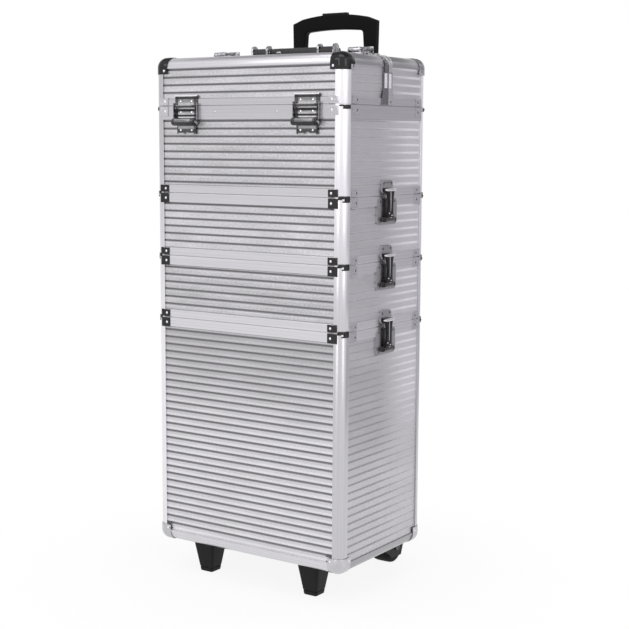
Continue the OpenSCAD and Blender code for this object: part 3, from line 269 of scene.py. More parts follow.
def satinFrame(name, tone):
    s = frameSet
    sh = Paint(name, Metallic=0.95)
    where = sh.place()
    x, y, z = sh.split(where)
    depth = abs(y - caseMidY)
    post = (abs(x) > halfW - s["post"]) * (depth > halfD - s["post"])
    level = sh.noise(sh.stretch(where, (1.0, 1.0, 300.0)), 5.0, 2.0)
    streak = sh.noise(sh.stretch(where, (520.0, 520.0, 1.5)), 1.0, 2.0)
    lines = level + post * (streak - level)
    bead = (abs((z / s["bead"]).fract() - 0.5) < 0.09) * (1 - post)  # thin drawn lines along the rims
    cloud = sh.noise(where, 14.0, 3.0)
    height = (z - caseLow.z).ramp(0.30, 0.72)
    rail = z > roofZ - s["rail"]

    def between(low, high):
        return sh.mix(lines, silver(tone * low), silver(tone * high))

    # painted shade: rims are painted darker higher up, the top rail less so
    shaded = (height * 0.5 + (z - caseLow.z).ramp(0.62, 0.71) * 0.18) * (1 - rail * 0.75)
    rim = sh.mix(shaded, between(0.92, 1.20), between(0.58, 0.86))
    # painted light and shade: the right posts are painted lighter higher up, the left posts lower down
    postLightAndShade = sh.mix(x > 0, sh.mix(height, between(1.18, 1.42), between(0.62, 0.92)),
                     sh.mix(height, between(0.76, 1.0), between(1.32, 1.5)))
    drawn = sh.mix(post, rim, postLightAndShade)
    flank = abs(x) > halfW - s["post"]
    # the low and the high side rails face darker parts of the room
    foot = flank * (z < caseLow.z + s["foot"]) * (1 - post)
    drawn = sh.mix(foot, drawn, between(0.52, 0.70))
    drawn = sh.mix(flank * rail * (1 - post), drawn, between(0.50, 0.66))
    strip = flank * (depth < s["strip"]) * (z > seamZ["lid"] + s["stripLow"])
    # painted shade in the lid split and along the outer borders of the bright bars
    barBorderShade = abs(depth - s["bar"]).ramp(0.0034, 0.0046)
    bar = strip * (z < seamZ["lid"] + s["barHigh"])
    drawn = sh.mix(strip, drawn, between(0.22, 0.40))
    drawn = sh.mix(bar, drawn, sh.mix(barBorderShade, between(1.45, 1.5), between(0.22, 0.34)))
    sh.put("Base Color", sh.mix(bead * 0.18, drawn, silver(tone * 0.55)))
    sh.put("Roughness", 0.22 + cloud * 0.10 + lines * 0.06 + bar * 0.18)
    sh.bump(lines - bead * 0.8, 0.00006, 0.5)
    return sh.mat


# plated sheet with bright rivet heads: a rivet is what stands proud of the sheet; dots are the heights of the
# rivets on the rounded posts
plateSet = {"proud": 0.0013, "rivet": 0.80, "dark": 0.10, "fade": 0.25, "postX": 0.0095, "postY": 0.0145,
            "flank": 0.001, "seam": 0.030, "roof": 0.018, "middle": 0.04, "dot": 0.0014, "dotWide": 0.0024,
            "dotIn": 0.012}


def plated(name, tone, rough, flankTone=None, dots=()):
    s = plateSet
    sh = Paint(name, Metallic=1.0)
    where = sh.place()
    x, y, z = sh.split(where)
    depth = abs(y - caseMidY)
    smear = sh.noise(where, 60.0, 4.0)
    fine = sh.noise(where, 420.0, 2.0)
    body = sh.mix(smear, silver(tone * (1 - s["fade"])), silver(tone * (1 + s["fade"])))
    rivets = silver(s["rivet"])
    if flankTone is not None:  # painted light: tabs on the sides and by the lid seam are painted pale, off the posts
        onSide = abs(x) > halfW - s["flank"]
        offPost = ((abs(x) > halfW - s["postX"]) * (depth > halfD - s["postY"])) < 0.5
        paintedLightMask = onSide.most(abs(z - seamZ["lid"]) < s["seam"]) * offPost * (z < roofZ - s["roof"])
        paintedLightMask = paintedLightMask.most(depth < s["middle"])
        pale = sh.mix(fine, silver(flankTone * 0.55), silver(flankTone * 1.35))
        body = sh.mix(paintedLightMask, body, pale)
        # the front plate by the lid split is darker
        dim = (depth < s["middle"]) * (y < caseMidY) * onSide * (z > seamZ["lid"])
        body = sh.mix(dim, body, sh.mix(fine, silver(0.08), silver(0.34)))
        rivets = sh.mix(paintedLightMask * onSide, rivets, silver(s["dark"]))
    proud = (abs(x) - halfW).most(depth - halfD).most(z - roofZ)
    head = proud.ramp(s["proud"], s["proud"] + 0.0003)
    for at in dots:
        corner = abs((abs(x) - halfW) - (depth - halfD)) < s["dotWide"]
        head = head.most(corner * (abs(z - at) < s["dot"]) * (depth > halfD - s["dotIn"]))
    sh.put("Base Color", sh.mix(head, body, rivets))
    sh.put("Roughness", rough + smear * 0.10)
    sh.bump(fine + smear * 2.0, 0.00008, 0.4)
    return sh.mat


# stay hinge: grey plates with painted shade and painted highlights as dark and light bands across the folds,
# given as drop from the lid seam, half thickness and tone; the side edges of the plates carry painted shade
hingeSet = {"x": 0.1152, "half": 0.0172, "leaf": 0.28, "edge": 0.05, "rivet": 0.95, "reach": 0.048, "bands": [
    (-0.0120, 0.0014, 0.06), (-0.0028, 0.0020, 0.55), (0.0014, 0.0010, 0.08), (0.0064, 0.0022, 0.04),
    (0.0122, 0.0009, 0.62), (0.0153, 0.0012, 0.05), (0.0183, 0.0010, 0.62), (0.0255, 0.0054, 0.055),
    (0.0210, 0.0012, 0.42), (0.0240, 0.0012, 0.20), (0.0335, 0.0018, 0.34), (0.0390, 0.0024, 0.09),
    (0.0440, 0.0012, 0.55)]}


def hingePlate(name):
    s = hingeSet
    sh = Paint(name, Metallic=1.0)
    where = sh.place()
    x, y, z = sh.split(where)
    out = abs(y - caseMidY) - halfD
    drop = seamZ["lid"] - z
    smear = sh.noise(where, 220.0, 4.0)
    tintAndShade = sh.mix(smear, silver(s["leaf"] * 0.5), silver(s["leaf"] * 1.6))
    for at, half, tone in s["bands"]:
        paintedBand = 1 - abs(drop - at).ramp(half, half + 0.0008)
        tintAndShade = sh.mix(paintedBand, tintAndShade, sh.mix(smear, silver(tone * 0.7), silver(tone * 1.3)))
    edge = abs(abs(x) - s["x"]).ramp(s["half"] - 0.0022, s["half"] - 0.0010)
    # painted shade along the side edges of the plates
    tintAndShade = sh.mix(edge * 0.8, tintAndShade, silver(s["edge"]))
    head = (out.ramp(0.0019, 0.0022)) * (out < 0.0034)
    sh.put("Base Color", sh.mix(head * (abs(drop) < s["reach"]), tintAndShade, silver(s["rivet"])))
    sh.put("Roughness", 0.16 + smear * 0.12)
    sh.bump(smear, 0.0002, 0.4)
    return sh.mat


def polished(name, tone, rough, low=0.78, scale=55.0):
    sh = Paint(name, Metallic=1.0)
    where = sh.place()
    smear = sh.noise(where, scale, 4.0)
    fine = sh.noise(where, 600.0, 2.0)
    sh.put("Base Color", sh.mix(smear.ramp(0.3, 0.7), silver(tone * low), silver(tone * 1.1)))
    sh.put("Roughness", rough + smear * 0.08)
    sh.bump(fine + smear * 2.0, 0.00008, 0.4)
    return sh.mat


# lever: dark plate, with a painted highlight where its own shine attribute says so
def leverSteel(name):
    sh = Paint(name, Metallic=1.0)
    where = sh.place()
    shine = sh.node("ShaderNodeAttribute", {"attribute_name": "shine"}, out="Fac")
    smear = sh.noise(where, 120.0, 4.0)
    dark = sh.mix(smear, silver(0.008), silver(0.05))
    sh.put("Base Color", sh.mix(shine, dark, silver(0.72)))
    sh.put("Roughness", 0.14 + smear * 0.16)
    sh.bump(smear, 0.0002, 0.4)
    return sh.mat


def moulded(name, tone, rough, grain=900.0, gloss=0.18):
    sh = Paint(name)
    sh.put("Specular IOR Level", gloss)
    where = sh.place()
    dust = sh.noise(where, 24.0, 4.0)
    fine = sh.noise(where, grain, 2.0)
    sh.put("Base Color", sh.mix(dust, silver(tone * 0.75), silver(tone * 1.3)))
    sh.put("Roughness", rough + dust * 0.12)
    sh.bump(fine, 0.00012, 0.5)
    return sh.mat


def drawnTube(name, tone):
    sh = Paint(name, Metallic=0.95)
    where = sh.place()
    lines = sh.noise(sh.stretch(where, (500.0, 500.0, 2.0)), 1.0, 2.0)
    sh.put("Base Color", sh.mix(lines, silver(tone * 0.85), silver(tone)))
    sh.put("Roughness", 0.28 + lines * 0.1)
    sh.bump(lines, 0.00005, 0.5)
    return sh.mat


# foam liner: closed cells under a cloudy tone
def foam(name, tone):
    sh = Paint(name)
    sh.put("Specular IOR Level", 0.2)
    where = sh.place()
    cells = sh.node("ShaderNodeTexVoronoi", {}, {"Vector": where, "Scale": 650.0})
    cloud = sh.noise(where, 30.0, 3.0)
    sh.put("Base Color", sh.mix(cloud, silver(tone * 0.7), silver(tone * 1.35)))
    sh.put("Roughness", 0.78 + cells * 0.15)
    sh.bump(cells + cloud * 0.5, 0.00025, 0.6)
    return sh.mat


# each band of panels: its lowest groove, rim edges over it that leave a painted shadow (height, then 1 for a
# rim below and -1 for one above), tone low and high on it (painted light and shade on the base), strength of
# the grain and of the painted highlights, bright lips above and below a line;
# patch scales its cloudy tone, roof is the first groove on the lid roof, flank scales the painted light at
# the rear of a side
rimLow, rimHigh = 0.0125, 0.015  # from a seam to the rim edge above it and below it
panelSet = {
    "base_panels": {"first": caseLow.z + 0.0292, "tone": (1.07, 0.70), "grain": 0.9, "above": 0.5,
                    "below": 0.0, "rims": [(seamZ["base"] - rimHigh, -1)], "patch": 0.7},
    "lower_panels": {"first": seamZ["base"] + 0.0217, "tone": (0.84, 0.84), "grain": 1.8, "above": 0.0,
                     "below": 0.3, "rims": [(seamZ["base"] + rimLow, 1), (seamZ["lower"] - rimHigh, -1)]},
    "upper_panels": {"first": seamZ["lower"] + 0.0235, "tone": (0.96, 0.96), "grain": 1.5, "above": 0.05,
                     "below": 0.05, "rims": [(seamZ["lower"] + rimLow, 1), (seamZ["upper"] - rimHigh, -1)]},
    "top_panels": {"first": seamZ["upper"] + 0.0173, "tone": (0.86, 0.86), "grain": 1.9, "above": 0.0,
                   "below": 0.2, "rims": [(seamZ["upper"] + rimLow, 1), (seamZ["lid"] - 0.0215, -1)]},
    "front_lid_panels": {"first": seamZ["lid"] + 0.0203, "tone": (0.90, 0.90), "grain": 1.7, "above": 0.1,
                         "below": 0.0, "rims": [(seamZ["lid"] + 0.0105, 1)], "roof": 0.0217, "flank": 0.4},
}
panelSet["rear_lid_panels"] = dict(panelSet["front_lid_panels"], flank=-0.15)
finishes = {
    "frame_aluminium": satinFrame("satinFrame", 0.66),
    "dark_chrome": plated("darkPlate", 0.045, 0.16, 0.58,
                          dots=[seamZ[k] - 0.0035 for k in ("base", "lower", "upper")]),
    "corner_steel": plated("cornerSteel", 0.56, 0.26),
    "chrome": plated("latchPlate", 0.42, 0.24, 0.50),
    "black_plastic": moulded("blackPlastic", 0.0065, 0.34),
    "steel": polished("plainSteel", 0.5, 0.3),
    "tube_aluminium": drawnTube("tubeAluminium", 0.7),
    "tray_black": moulded("trayBlack", 0.02, 0.5, 900.0, 0.35),
    "button_plastic": moulded("buttonPlastic", 0.010, 0.4),
    "tyre": moulded("tyreRubber", 0.010, 0.6, 500.0),
    "hub_plastic": moulded("hubPlastic", 0.04, 0.42, 900.0, 0.4),
}
hingeFinish = hingePlate("hingePlate")
roofChrome = polished("roofChrome", 0.72, 0.10, 0.18, 170.0)
ballCaps = plated("ballCaps", 0.04, 0.10, 0.58)
axleSteel = polished("axleSteel", 0.10, 0.35)
gripPlastic = moulded("gripPlastic", 0.0045, 0.42, 900.0, 0.08)
handlePlastic = moulded("handlePlastic", 0.036, 0.38, 900.0, 0.35)
special = {
    "hinge_body_leaves": hingeFinish,
    "front_lid_hinge_leaves": hingeFinish,
    "rear_lid_hinge_leaves": hingeFinish,
    "carry_handle_brackets": roofChrome,
    "top_latch_bases": roofChrome,
    "rear_lid_strikes": roofChrome,
    "left_top_latch": roofChrome,
    "right_top_latch": roofChrome,
    "front_lid_caps": ballCaps,
    "rear_lid_caps": plated("rearCaps", 0.36, 0.18, 0.58),
    "wheel_axles": axleSteel,
}
slotOf = {p["node"]: p["material_slot"] for p in frame["record"]["subparts"]}


def dress(node, mat):
    data = nodes[node].data
    data.materials.clear()
    data.materials.append(mat)


for node in nodes:
    if node in panelSet:
        dress(node, ribbedSkin(node + "Skin", panelSet[node]))
    else:
        dress(node, special.get(node, finishes[slotOf[node]]))
print("finishes on the frame")


# soft edges on the hard pieces: weld the loose triangles, then a small bevel
edgeSet = {"width": 0.0004, "angle": 35.0, "join": 0.000005}
for n in nodes:
    if n.endswith("_panels"):
        continue
    weld = nodes[n].modifiers.new("weld", "WELD")
    weld.merge_threshold = edgeSet["join"]
    soft = nodes[n].modifiers.new("soften", "BEVEL")
    soft.width = edgeSet["width"]
    soft.segments = 2
    soft.limit_method = "ANGLE"
    soft.angle_limit = math.radians(edgeSet["angle"])


# a surface as points, face corners and face sizes: rows follow a path, columns go round a profile
def skinOf(points, loop=False, caps=False):
    rows, cols = points.shape[:2]
    i, j = np.meshgrid(np.arange(rows if loop else rows - 1), np.arange(cols), indexing="ij")
    i2, j2 = (i + 1) % rows, (j + 1) % cols
    corners = np.stack([i * cols + j, i * cols + j2, i2 * cols + j2, i2 * cols + j], -1).reshape(-1)
    sizes = np.full(len(corners) // 4, 4)
    if caps:
        corners = np.concatenate([corners, np.arange(cols)[::-1], (rows - 1) * cols + np.arange(cols)])
        sizes = np.concatenate([sizes, [cols, cols]])
    return points.reshape(-1, 3), corners, sizes


# joins surfaces into one piece, welds their poles, turns faces outward and hands it to its body
pieceSet = {"crease": 40.0, "join": 0.0000005}


def addPiece(name, skins, mat, body, stands=(), shine=None):
    counts = [len(s[0]) for s in skins]
    starts = np.cumsum([0] + counts[:-1])
    points = np.concatenate([s[0] for s in skins]).astype(np.float32)
    corners = np.concatenate([s[1] + k for s, k in zip(skins, starts)]).astype(np.int32)
    sizes = np.concatenate([s[2] for s in skins])
    mesh = bpy.data.meshes.new(name)
    mesh.vertices.add(len(points))
    mesh.vertices.foreach_set("co", points.ravel())
    mesh.loops.add(len(corners))
    mesh.loops.foreach_set("vertex_index", corners)
    mesh.polygons.add(len(sizes))
    mesh.polygons.foreach_set("loop_start", np.concatenate([[0], np.cumsum(sizes)[:-1]]).astype(np.int32))
    if shine is not None:
        mark = mesh.attributes.new("shine", "FLOAT", "POINT")
        mark.data.foreach_set("value", np.repeat(shine, counts).astype(np.float32))
    mesh.update(calc_edges=True)
    work = bmesh.new()
    work.from_mesh(mesh)
    bmesh.ops.remove_doubles(work, verts=work.verts, dist=pieceSet["join"])
    bmesh.ops.recalc_face_normals(work, faces=work.faces)
    work.to_mesh(mesh)
    work.free()
    mesh.polygons.foreach_set("use_smooth", np.ones(len(mesh.polygons), dtype=bool))
    mesh.set_sharp_from_angle(angle=math.radians(pieceSet["crease"]))
    mesh.materials.append(mat)
    piece = bpy.data.objects.new(name, mesh)
    scene.collection.objects.link(piece)
    if stands:
        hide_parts(*stands)
    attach(piece, body)


# rounded square of half size 1: cosine and sine, each to a power below one
def squircle(count, power):
    a = np.linspace(0, 2 * np.pi, count, endpoint=False)
    c, s = np.cos(a), np.sin(a)
    return np.sign(c) * np.abs(c) ** (2 / power), np.sign(s) * np.abs(s) ** (2 / power)


# rounded block: the same powers along both angles of a ball
def pebble(centre, half, power=6.0, count=24):
    v = np.linspace(-np.pi / 2, np.pi / 2, count // 2 + 1)
    ring = np.abs(np.cos(v)) ** (2 / power)
    rise = np.sign(np.sin(v)) * np.abs(np.sin(v)) ** (2 / power)
    c, s = squircle(count, power)
    p = np.stack([np.outer(ring, c), np.outer(ring, s), np.outer(rise, np.ones(count))], -1)
    return skinOf(p * np.array(half) + np.array(centre))


# profile of radius and place along x, turned about a line through the centre; closes on itself
def turned(radius, along, centre, count, loop=True):
    a = np.linspace(0, 2 * np.pi, count, endpoint=False)
    r = radius if radius.ndim == 2 else np.outer(radius, np.ones(count))
    x = along if along.ndim == 2 else np.outer(along, np.ones(count))
    p = np.stack([x, r * np.cos(a), r * np.sin(a)], -1) + np.array(centre)
    return skinOf(p, loop=loop, caps=not loop)


def span(a, b, count):
    return np.linspace(a, b, count)


# trolley grip: a rounded section between an outer and an inner curve, legs, cut shoulders, arched bar
gripSet = {"foot": 0.080, "leg": 0.019, "bar": 0.025, "cut": 0.019, "cutRise": 0.007, "arch": 0.006,
           "gapArch": 0.0025, "gapRound": 0.006, "power": 8.0, "screwX": 0.0705, "screwZ": 0.011,
           "screw": (0.0034, 0.0013, 0.0034)}


def makeTrolleyGrip(s):
    low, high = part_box("trolley_grip")
    half, inner, crown = high.x, high.x - s["bar"], high.x - s["cut"]
    topZ = high.z
    gapZ = topZ - s["bar"]
    sideZ = gapZ - s["gapArch"] - s["gapRound"]
    cutZ = topZ - s["arch"] - s["cutRise"]
    reach = inner - s["gapRound"]
    turn = span(0, np.pi / 2, 12)
    t = span(0, 1, 30)
    legOut = np.stack([span(s["foot"], half, 14), span(low.z, cutZ, 14)], -1)
    legIn = np.stack([span(s["foot"] - s["leg"], inner, 14), span(low.z, sideZ, 14)], -1)
    cutOut = np.stack([span(half, crown, 12), span(cutZ, topZ - s["arch"], 12)], -1)
    cutIn = np.stack([reach + s["gapRound"] * np.cos(turn), sideZ + s["gapRound"] * np.sin(turn)], -1)
    barOut = np.stack([crown * (1 - t), topZ - s["arch"] * (1 - t) ** 2], -1)
    barIn = np.stack([reach * (1 - t), gapZ - s["gapArch"] * (1 - t) ** 2], -1)
    outer = np.concatenate([legOut[:-1], cutOut[:-1], barOut])
    inside = np.concatenate([legIn[:-1], cutIn[:-1], barIn])
    flip = np.array([-1, 1])
    outer = np.concatenate([outer, outer[-2::-1] * flip])
    inside = np.concatenate([inside, inside[-2::-1] * flip])
    c, w = squircle(44, s["power"])
    middle, half2 = (outer + inside) / 2, (outer - inside) / 2
    flat = middle[:, None, :] + half2[:, None, :] * c[None, :, None]
    y = (low.y + high.y) / 2 + (high.y - low.y) / 2 * np.outer(np.ones(len(outer)), w)
    p = np.stack([flat[..., 0], y, flat[..., 1]], -1)
    addPiece("trolleyGrip", [skinOf(p, caps=True)], gripPlastic, "trolley_handle",
             ["trolley_grip"])
    places = [(k * s["screwX"], low.y + 0.0006, low.z + s["screwZ"]) for k in (-1, 1)]
    screws = [pebble(place, s["screw"], 2.4) for place in places]
    addPiece("gripScrews", screws, finishes["steel"], "trolley_handle")


makeTrolleyGrip(gripSet)


# carry handle: a round-cornered bail, flat arms swelling into a straight grip, with long eyes at the pivots
carrySet = {"armX": 0.064, "armHalf": 0.0055, "armThick": 0.0052, "eye": 0.0071, "eyeHalf": 0.01235,
            "corner": 0.011, "reach": 0.030, "gripHalf": 0.009, "sleeveX": 0.0465, "sleeveHalf": 0.0055}


def makeCarryGrip(s):
    low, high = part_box("carry_handle")
    pivotY = low.y + s["eye"]
    pivotZ = (low.z + high.z) / 2
    turn = span(0, np.pi / 2, 14)
    straight = span(0, s["reach"] - s["corner"], 10)
    edge = s["armX"] - s["corner"]
    along = span(edge, 0, 40)
    x = np.concatenate([np.full(len(straight) - 1, s["armX"]), edge + s["corner"] * np.cos(turn)[:-1], along])
    y = np.concatenate([straight[:-1], straight[-1] + s["corner"] * np.sin(turn)[:-1],
                        np.full(len(along), s["reach"])])
    x, y = np.concatenate([x, -x[-2::-1]]), np.concatenate([y, y[-2::-1]])
    path = np.stack([x, y], -1)
    ahead = np.gradient(path, axis=0)
    ahead /= np.linalg.norm(ahead, axis=1)[:, None]
    across = np.stack([ahead[:, 1], -ahead[:, 0]], -1)
    full = np.clip((y / s["reach"] - 0.45) / 0.5, 0, 1)
    wide = s["armHalf"] + (s["gripHalf"] - s["armHalf"]) * full
    thick = s["armThick"] + (s["gripHalf"] - s["armThick"]) * full
    c, w = squircle(36, 2.6)
    flat = path[:, None, :] + across[:, None, :] * (wide[:, None] * c[None, :])[..., None]
    z = pivotZ + thick[:, None] * w[None, :]
    p = np.stack([flat[..., 0], pivotY + flat[..., 1], z], -1)
    skins = [skinOf(p, caps=True)]
    a = span(-1, 1, 13)
    r = s["eye"] * (0.86 + 0.14 * np.sqrt(1 - a ** 4))
    for k in (-1, 1):
        skins.append(turned(r, a * s["eyeHalf"], (k * s["armX"], pivotY, pivotZ), 32, loop=False))
    addPiece("carryGrip", skins, handlePlastic, "carry_handle", ["carry_handle"])
    ring = s["gripHalf"] + 0.0004 * (1 - a ** 4)
    places = [(k * s["sleeveX"], pivotY + s["reach"], pivotZ) for k in (-1, 1)]
    sleeves = [turned(ring, a * s["sleeveHalf"], place, 36, loop=False) for place in places]
    addPiece("gripSleeves", sleeves, roofChrome, "carry_handle")


makeCarryGrip(carrySet)


# side lever: a waisted bowed plate, a barrel, a thin stem, three beads, a cross bar and a hook;
# shine is how bright a painted highlight makes each of them, in that order, brightest on the cross bar
leverSet = {"half": 0.0118, "waist": 0.0080, "low": -0.036, "high": 0.0117, "out": 0.0060, "thick": 0.0012,
            "barrel": 0.0037, "stem": 0.0009,
            "beads": [(-0.004, -0.0265), (0.0035, -0.0300), (0.001, -0.0335)],
            "shine": [0.0, 0.08, 0.5, 0.9, 0.9, 0.9, 1.0, 0.0]}


def makeLever(node, side, seam, s, mat):
    c, w = squircle(28, 5.0)
    h = span(s["low"], s["high"], 30)
    t = (h - s["low"]) / (s["high"] - s["low"])
    wide = s["half"] - (s["half"] - s["waist"]) * np.sin(np.pi * np.clip(t / 0.86, 0, 1)) ** 0.7
    out = s["out"] + 0.0009 * np.sin(np.pi * t)
    p = np.stack([(out[:, None] + s["thick"] * w[None, :]), wide[:, None] * c[None, :],
                  np.outer(h, np.ones(len(c)))], -1)
    skins = [skinOf(p, caps=True)]
    a = span(-1, 1, 11)
    roll = turned(s["barrel"] * (0.85 + 0.15 * np.sqrt(1 - a ** 4)), a * s["half"], (0, 0, 0), 28, loop=False)
    rolled = roll[0][:, [1, 0, 2]] + np.array([0.0058, 0, s["low"]])
    skins.append((rolled, roll[1], roll[2]))
    skins.append(pebble((s["out"] + 0.0016, -0.0006, -0.0080), (0.0012, s["stem"], 0.0165), 2.6))
    for at, up in s["beads"]:
        skins.append(pebble((s["out"] + 0.0012, at, up), (0.0014, 0.0014, 0.0011), 2.6))
    skins.append(pebble((s["out"] + 0.0010, 0, 0.0092), (0.0029, 0.0150, 0.0024), 3.0, 28))
    skins.append(pebble((0.0042, 0, 0.0105), (0.0022, 0.0122, 0.0011), 6.0))
    origin = np.array([side * halfW, caseMidY, seam])
    placed = [(q[0] * np.array([side, 1, 1]) + origin, q[1], q[2]) for q in skins]
    addPiece(node + "Lever", placed, mat, node, [node], s["shine"])


leverFinish = leverSteel("leverSteel")
for level in ("base", "lower", "upper"):
    for word, side in (("left", -1), ("right", 1)):
        makeLever(f"{level}_{word}_latch", side, seamZ[level], leverSet, leverFinish)
print("handles and levers made")


# front feet: tapered square posts with a rounded section, a tip groove and a chamfered sole
footSet = {"x": 0.1035, "y": -0.0795, "top": 0.0210, "low": 0.0120, "power": 9.0}


def makeFeet(s):
    low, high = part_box("front_feet")
    z = np.concatenate([[0, 0.0008, 0.0065, 0.0070, 0.0078, 0.0083], span(0.012, high.z, 12)])
    half = s["low"] + (s["top"] - s["low"]) * z / high.z
    half = half - np.array([0.0012, 0, 0, 0.0007, 0.0007, 0] + [0] * 12)
    c, w = squircle(48, s["power"])
    skins = []
    for k in (-1, 1):
        p = np.stack([k * s["x"] + half[:, None] * c, caseMidY + s["y"] + half[:, None] * w,
                      np.outer(z, np.ones(len(c)))], -1)
        skins.append(skinOf(p, caps=True))
    addPiece("frontFeet", skins, moulded("footPlastic", 0.010, 0.45, 700.0, 0.18), "base",
             ["front_feet"])


makeFeet(footSet)


# tyre: a squared ring turned about the axle, its tread cut by slanted grooves over the shoulders
tyreSet = {"seat": 0.01805, "ribs": 40, "cut": 0.0005, "slant": 260, "smooth": 0.30, "steps": 240}


def makeTyre(node, body, s):
    low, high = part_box(node)
    centre = ((low.x + high.x) / 2, (low.y + high.y) / 2, (low.z + high.z) / 2)
    outer, half = (high.z - low.z) / 2, (high.x - low.x) / 2
    c, w = squircle(40, 4.5)
    r = (outer + s["seat"]) / 2 + (outer - s["seat"]) / 2 * w
    x = half * c
    a = span(0, 2 * np.pi, s["steps"] + 1)[:-1]
    shoulder = np.clip((r - outer + 0.004) / 0.003, 0, 1) * (np.abs(x) > half * s["smooth"])
    groove = np.clip(np.sin(s["ribs"] * a[None, :] + x[:, None] * s["slant"]) * 3, 0, 1)
    radius = r[:, None] - s["cut"] * shoulder[:, None] * groove
    addPiece(node + "Tread", [turned(radius, x, centre, len(a))], finishes["tyre"], body, [node])


# hub: a dished disc with five raised spokes on both faces, bored for the axle
hubSet = {"bore": 0.0041, "boss": 0.0068, "lip": 0.0155, "dish": 0.0032, "spokes": 5, "edge": 0.0005,
          "soft": 0.0007, "steps": 160}


def makeHub(node, body, s):
    low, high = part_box(node)
    centre = ((low.x + high.x) / 2, (low.y + high.y) / 2, (low.z + high.z) / 2)
    outer, half = (high.z - low.z) / 2, (high.x - low.x) / 2
    a = span(0, 2 * np.pi, s["steps"] + 1)[:-1]
    r = np.concatenate([[s["bore"], s["bore"] + s["edge"]], span(s["boss"] - 0.0006, s["lip"] + 0.0006, 16),
                        [outer - s["edge"], outer]])
    between = np.clip((r - s["boss"]) / s["soft"], 0, 1) * np.clip((s["lip"] - r) / s["soft"], 0, 1)
    spoke = np.clip(0.5 + 4 * np.cos(s["spokes"] * a), 0, 1)
    drop = s["dish"] * between[:, None] * (1 - 0.75 * spoke[None, :])
    edge = np.where((r <= s["bore"]) | (r >= outer), s["edge"], 0.0)[:, None]
    face = half - drop - edge
    radius = np.outer(np.concatenate([r, r[::-1]]), np.ones(len(a)))
    along = np.concatenate([-face, face[::-1]])
    addPiece(node + "Spokes", [turned(radius, along, centre, len(a))], finishes["hub_plastic"], body,
             [node])


for word in ("left", "right"):
    makeTyre(word + "_tyre", word + "_wheel", tyreSet)
    makeHub(word + "_hub", word + "_wheel", hubSet)
print("feet and wheels made")


# foam liners: a rounded rectangle carried down the walls, round the floor edge, and back up inside
linerSet = {"thick": 0.0012, "clear": 0.0004, "below": 0.0065, "round": 0.009, "floor": 0.009,
            "baseBend": 0.009, "bend": 0.0025}
linerFoam = foam("linerFoam", 0.035)


def ringPlan(inset, count=8):
    r = np.maximum(linerSet["round"] - inset, 0.0008)
    a = (span(0, np.pi / 2, count)[None, :] + (np.arange(4) * np.pi / 2)[:, None])
    sx, sy = np.array([1, -1, -1, 1])[:, None], np.array([1, 1, -1, -1])[:, None]
    hx, hy = halfW - wallIn - inset - r, halfD - wallIn - inset - r
    x = hx[:, None, None] * sx + r[:, None, None] * np.cos(a)
    y = hy[:, None, None] * sy + r[:, None, None] * np.sin(a)
    return x.reshape(len(inset), -1), y.reshape(len(inset), -1)


def makeLiner(name, body, floorZ, topZ, bend):
    s = linerSet
    turn = span(0, np.pi / 2, 8)
    out = s["clear"] + (bend - s["clear"]) * (1 - np.sin(turn))
    outZ = floorZ + s["clear"] + (bend - s["clear"]) * (1 - np.cos(turn))
    inAt = s["clear"] + s["thick"]
    into = inAt + (bend - inAt) * (1 - np.sin(turn))
    inZ = floorZ + inAt + (bend - inAt) * (1 - np.cos(turn))
    inset = np.concatenate([out, [s["clear"], inAt], into[::-1]])
    z = np.concatenate([outZ, [topZ, topZ], inZ[::-1]])
    x, y = ringPlan(inset)
    p = np.stack([x, y + caseMidY, np.outer(z, np.ones(x.shape[1]))], -1)
    addPiece(name, [skinOf(p, caps=True)], linerFoam, body)


makeLiner("baseLiner", "base", caseLow.z + wallIn, seamZ["base"] - linerSet["below"], linerSet["baseBend"])
for level, above, body in (("base", "lower", "lower_tier"), ("lower", "upper", "upper_tier"),
                           ("upper", "lid", "top_case")):
    makeLiner(body + "Liner", body, seamZ[level] + linerSet["floor"], seamZ[above] - linerSet["below"],
              linerSet["bend"])


# lid boards: thin cushions of foam board under both halves of the roof
boardSet = {"y": 0.062, "under": 0.0013, "half": (0.158, 0.042, 0.0011)}
for word, body, sign in (("front", "front_lid", -1), ("rear", "top_case", 1)):
    place = (0, caseMidY + sign * boardSet["y"], roofZ - wallIn - boardSet["under"])
    board = pebble(place, boardSet["half"], 9.0, 64)
    addPiece(word + "LidBoard", [board], linerFoam, body)


# tray dividers: one long wall and three short ones as rounded slabs, with a thin foam mat in each tray
traySet = {"half": 0.1605, "thick": 0.0008, "floor": 0.0022, "fill": 0.36, "apart": 0.08, "wall": 0.0022,
           "mat": 0.0006, "matIn": 0.001}


def makeTrayFill(name, box, body, s):
    low, high = box
    midY, halfY, tall = (low.y + high.y) / 2, (high.y - low.y) / 2 - s["wall"], high.z - low.z
    rise = tall * s["fill"]
    wallZ = low.z + s["floor"] + rise
    walls = [pebble((0, midY, wallZ), (s["half"], s["thick"], rise), 12.0, 40)]
    walls += [pebble((k * s["apart"], midY, wallZ), (s["thick"], halfY, rise), 12.0, 40) for k in (-1, 0, 1)]
    addPiece(name + "Dividers", walls, finishes["tray_black"], body)
    mat = pebble((0, midY, low.z + s["floor"] + 0.0004),
                 (s["half"] - s["matIn"], halfY - s["matIn"], s["mat"]), 14.0, 64)
    addPiece(name + "Mat", [mat], linerFoam, body)


for level in ("lower", "upper"):
    low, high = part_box(f"front_{level}_tray")
    makeTrayFill(f"front{level.title()}Tray", (low, high), f"front_{level}_tray", traySet)
    backLow, backHigh = low.copy(), high.copy()
    backLow.y, backHigh.y = 2 * caseMidY - high.y, 2 * caseMidY - low.y
    makeTrayFill(f"rear{level.title()}Tray", (backLow, backHigh), "top_case", traySet)


